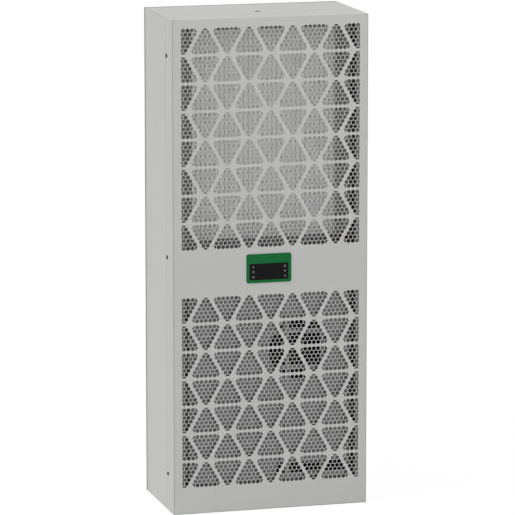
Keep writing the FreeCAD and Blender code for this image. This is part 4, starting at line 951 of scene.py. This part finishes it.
class COOLER_OT_stage(bpy.types.Operator):
    """Set the floor, the studio light and the camera"""
    bl_idname = "cooler.stage"
    bl_label = "Stage"

    WHITE = (1, 1, 1, 1)

    def execute(self, context):
        scene = context.scene
        settings = scene.cooler_stage
        scene.view_settings.view_transform = "Standard"
        self.floor(settings, scene.cooler_colours.floor)
        self.sky(scene, settings.sky)
        for name, strength, direction, softness in (
                ("soft_lamp", settings.lamp, settings.lamp_towards, settings.lamp_softness),
                ("front_lamp", settings.front, settings.front_towards, settings.front_softness)):
            towards = Vector(direction)
            lamp = self.light("SUN", name, settings.lamp_distance * towards, -towards, strength)
            lamp.angle = softness
        place = Vector(settings.panel_place)
        front_top = Vector((0, COVER_LOW.y, COVER_HIGH.z))
        panel = self.light("AREA", "front_panel", place, front_top - place, settings.panel)
        panel.size = settings.panel_size
        self.camera(scene, settings)
        return {"FINISHED"}

    def floor(self, settings, shade):
        """A pale floor that seen rays meet as nearly plain white, while it still takes a shadow."""
        deselect()
        bpy.ops.mesh.primitive_plane_add(size=settings.floor_size,
                                         location=(0, 0, CAD_BOX[0][2] - settings.floor_drop))
        floor = bpy.context.object
        floor.name = "studio_floor"
        finish = Finish("floor_paint", Roughness=0.8)
        tone = finish.noise(scale=2, detail=2.0)
        finish.drive(Base_Color=finish.mottle(tone, shade, dark=0.99, pale=1.01))
        glow = finish.node("ShaderNodeEmission",
                           inputs={"Color": self.WHITE, "Strength": settings.floor_glow})
        paint = Wire(finish, finish.shader.outputs[0])
        mixed = finish.node("ShaderNodeMixShader",
                            inputs={0: finish.seen() * settings.floor_share, 1: paint, 2: glow})
        finish.feed(finish.tree.nodes["Material Output"].inputs["Surface"], mixed)
        floor.data.materials.append(finish.material)
        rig.stage(floor)

    def sky(self, scene, strength):
        """An even sky that lights at one strength and is seen as plain white."""
        scene.world = scene.world or bpy.data.worlds.new("studio")
        scene.world.use_nodes = True
        sky = Nodes(scene.world.node_tree)
        glow = sky.tree.nodes["Background"]
        sky.feed(glow.inputs["Color"], self.WHITE)
        sky.feed(glow.inputs["Strength"], strength + sky.seen() * (1 - strength))

    def light(self, kind, name, place, direction, strength):
        """A named light that shines from a place in a direction."""
        deselect()
        bpy.ops.object.light_add(type=kind, location=place, rotation=self.facing(direction))
        light = bpy.context.object
        light.name = name
        light.data.energy = strength
        return light.data

    def facing(self, direction):
        return direction.to_track_quat("-Z", "Y").to_euler()

    def camera(self, scene, settings):
        around = settings.azimuth
        up = settings.elevation
        level = math.cos(up)
        away = Vector((math.sin(around) * level, -math.cos(around) * level, math.sin(up)))
        deselect()
        bpy.ops.object.camera_add(location=Vector(settings.target) + settings.distance * away,
                                  rotation=self.facing(-away))
        camera = bpy.context.object
        camera.data.sensor_width = settings.sensor
        camera.data.lens = settings.lens
        camera.data.clip_end = settings.reach
        scene.camera = camera


class COOLER_PT_panel(bpy.types.Panel):
    """Lists the steps that dress the unit"""
    bl_label = "Enclosure air conditioner"
    bl_idname = "COOLER_PT_panel"
    bl_space_type = "VIEW_3D"
    bl_region_type = "UI"
    bl_category = "Cooler"

    def draw(self, context):
        for step in STEPS:
            self.layout.operator(step.bl_idname)


GROUPS = {
    "cooler_cover": CoverSizes,
    "cooler_details": DetailSizes,
    "cooler_colours": Colours,
    "cooler_stage": StageSettings,
}
STEPS = (COOLER_OT_cover, COOLER_OT_fins, COOLER_OT_screws, COOLER_OT_keys, COOLER_OT_finishes,
         COOLER_OT_stage)


def register():
    for group in GROUPS.values():
        bpy.utils.register_class(group)
    for name, group in GROUPS.items():
        setattr(bpy.types.Scene, name, PointerProperty(type=group))
    for step in (*STEPS, COOLER_PT_panel):
        bpy.utils.register_class(step)


def unregister():
    for step in (COOLER_PT_panel, *reversed(STEPS)):
        bpy.utils.unregister_class(step)
    for name in GROUPS:
        delattr(bpy.types.Scene, name)
    for group in GROUPS.values():
        bpy.utils.unregister_class(group)


def main():
    register()
    bpy.ops.cooler.cover()
    bpy.ops.cooler.fins()
    bpy.ops.cooler.screws()
    bpy.ops.cooler.keys()
    bpy.ops.cooler.finishes()
    bpy.ops.cooler.stage()
    with open("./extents.json", "w") as out:
        json.dump({"cad": CAD_BOX, "visual": [list(corner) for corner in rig.bounds()]}, out)


if __name__ == "__main__":
    main()
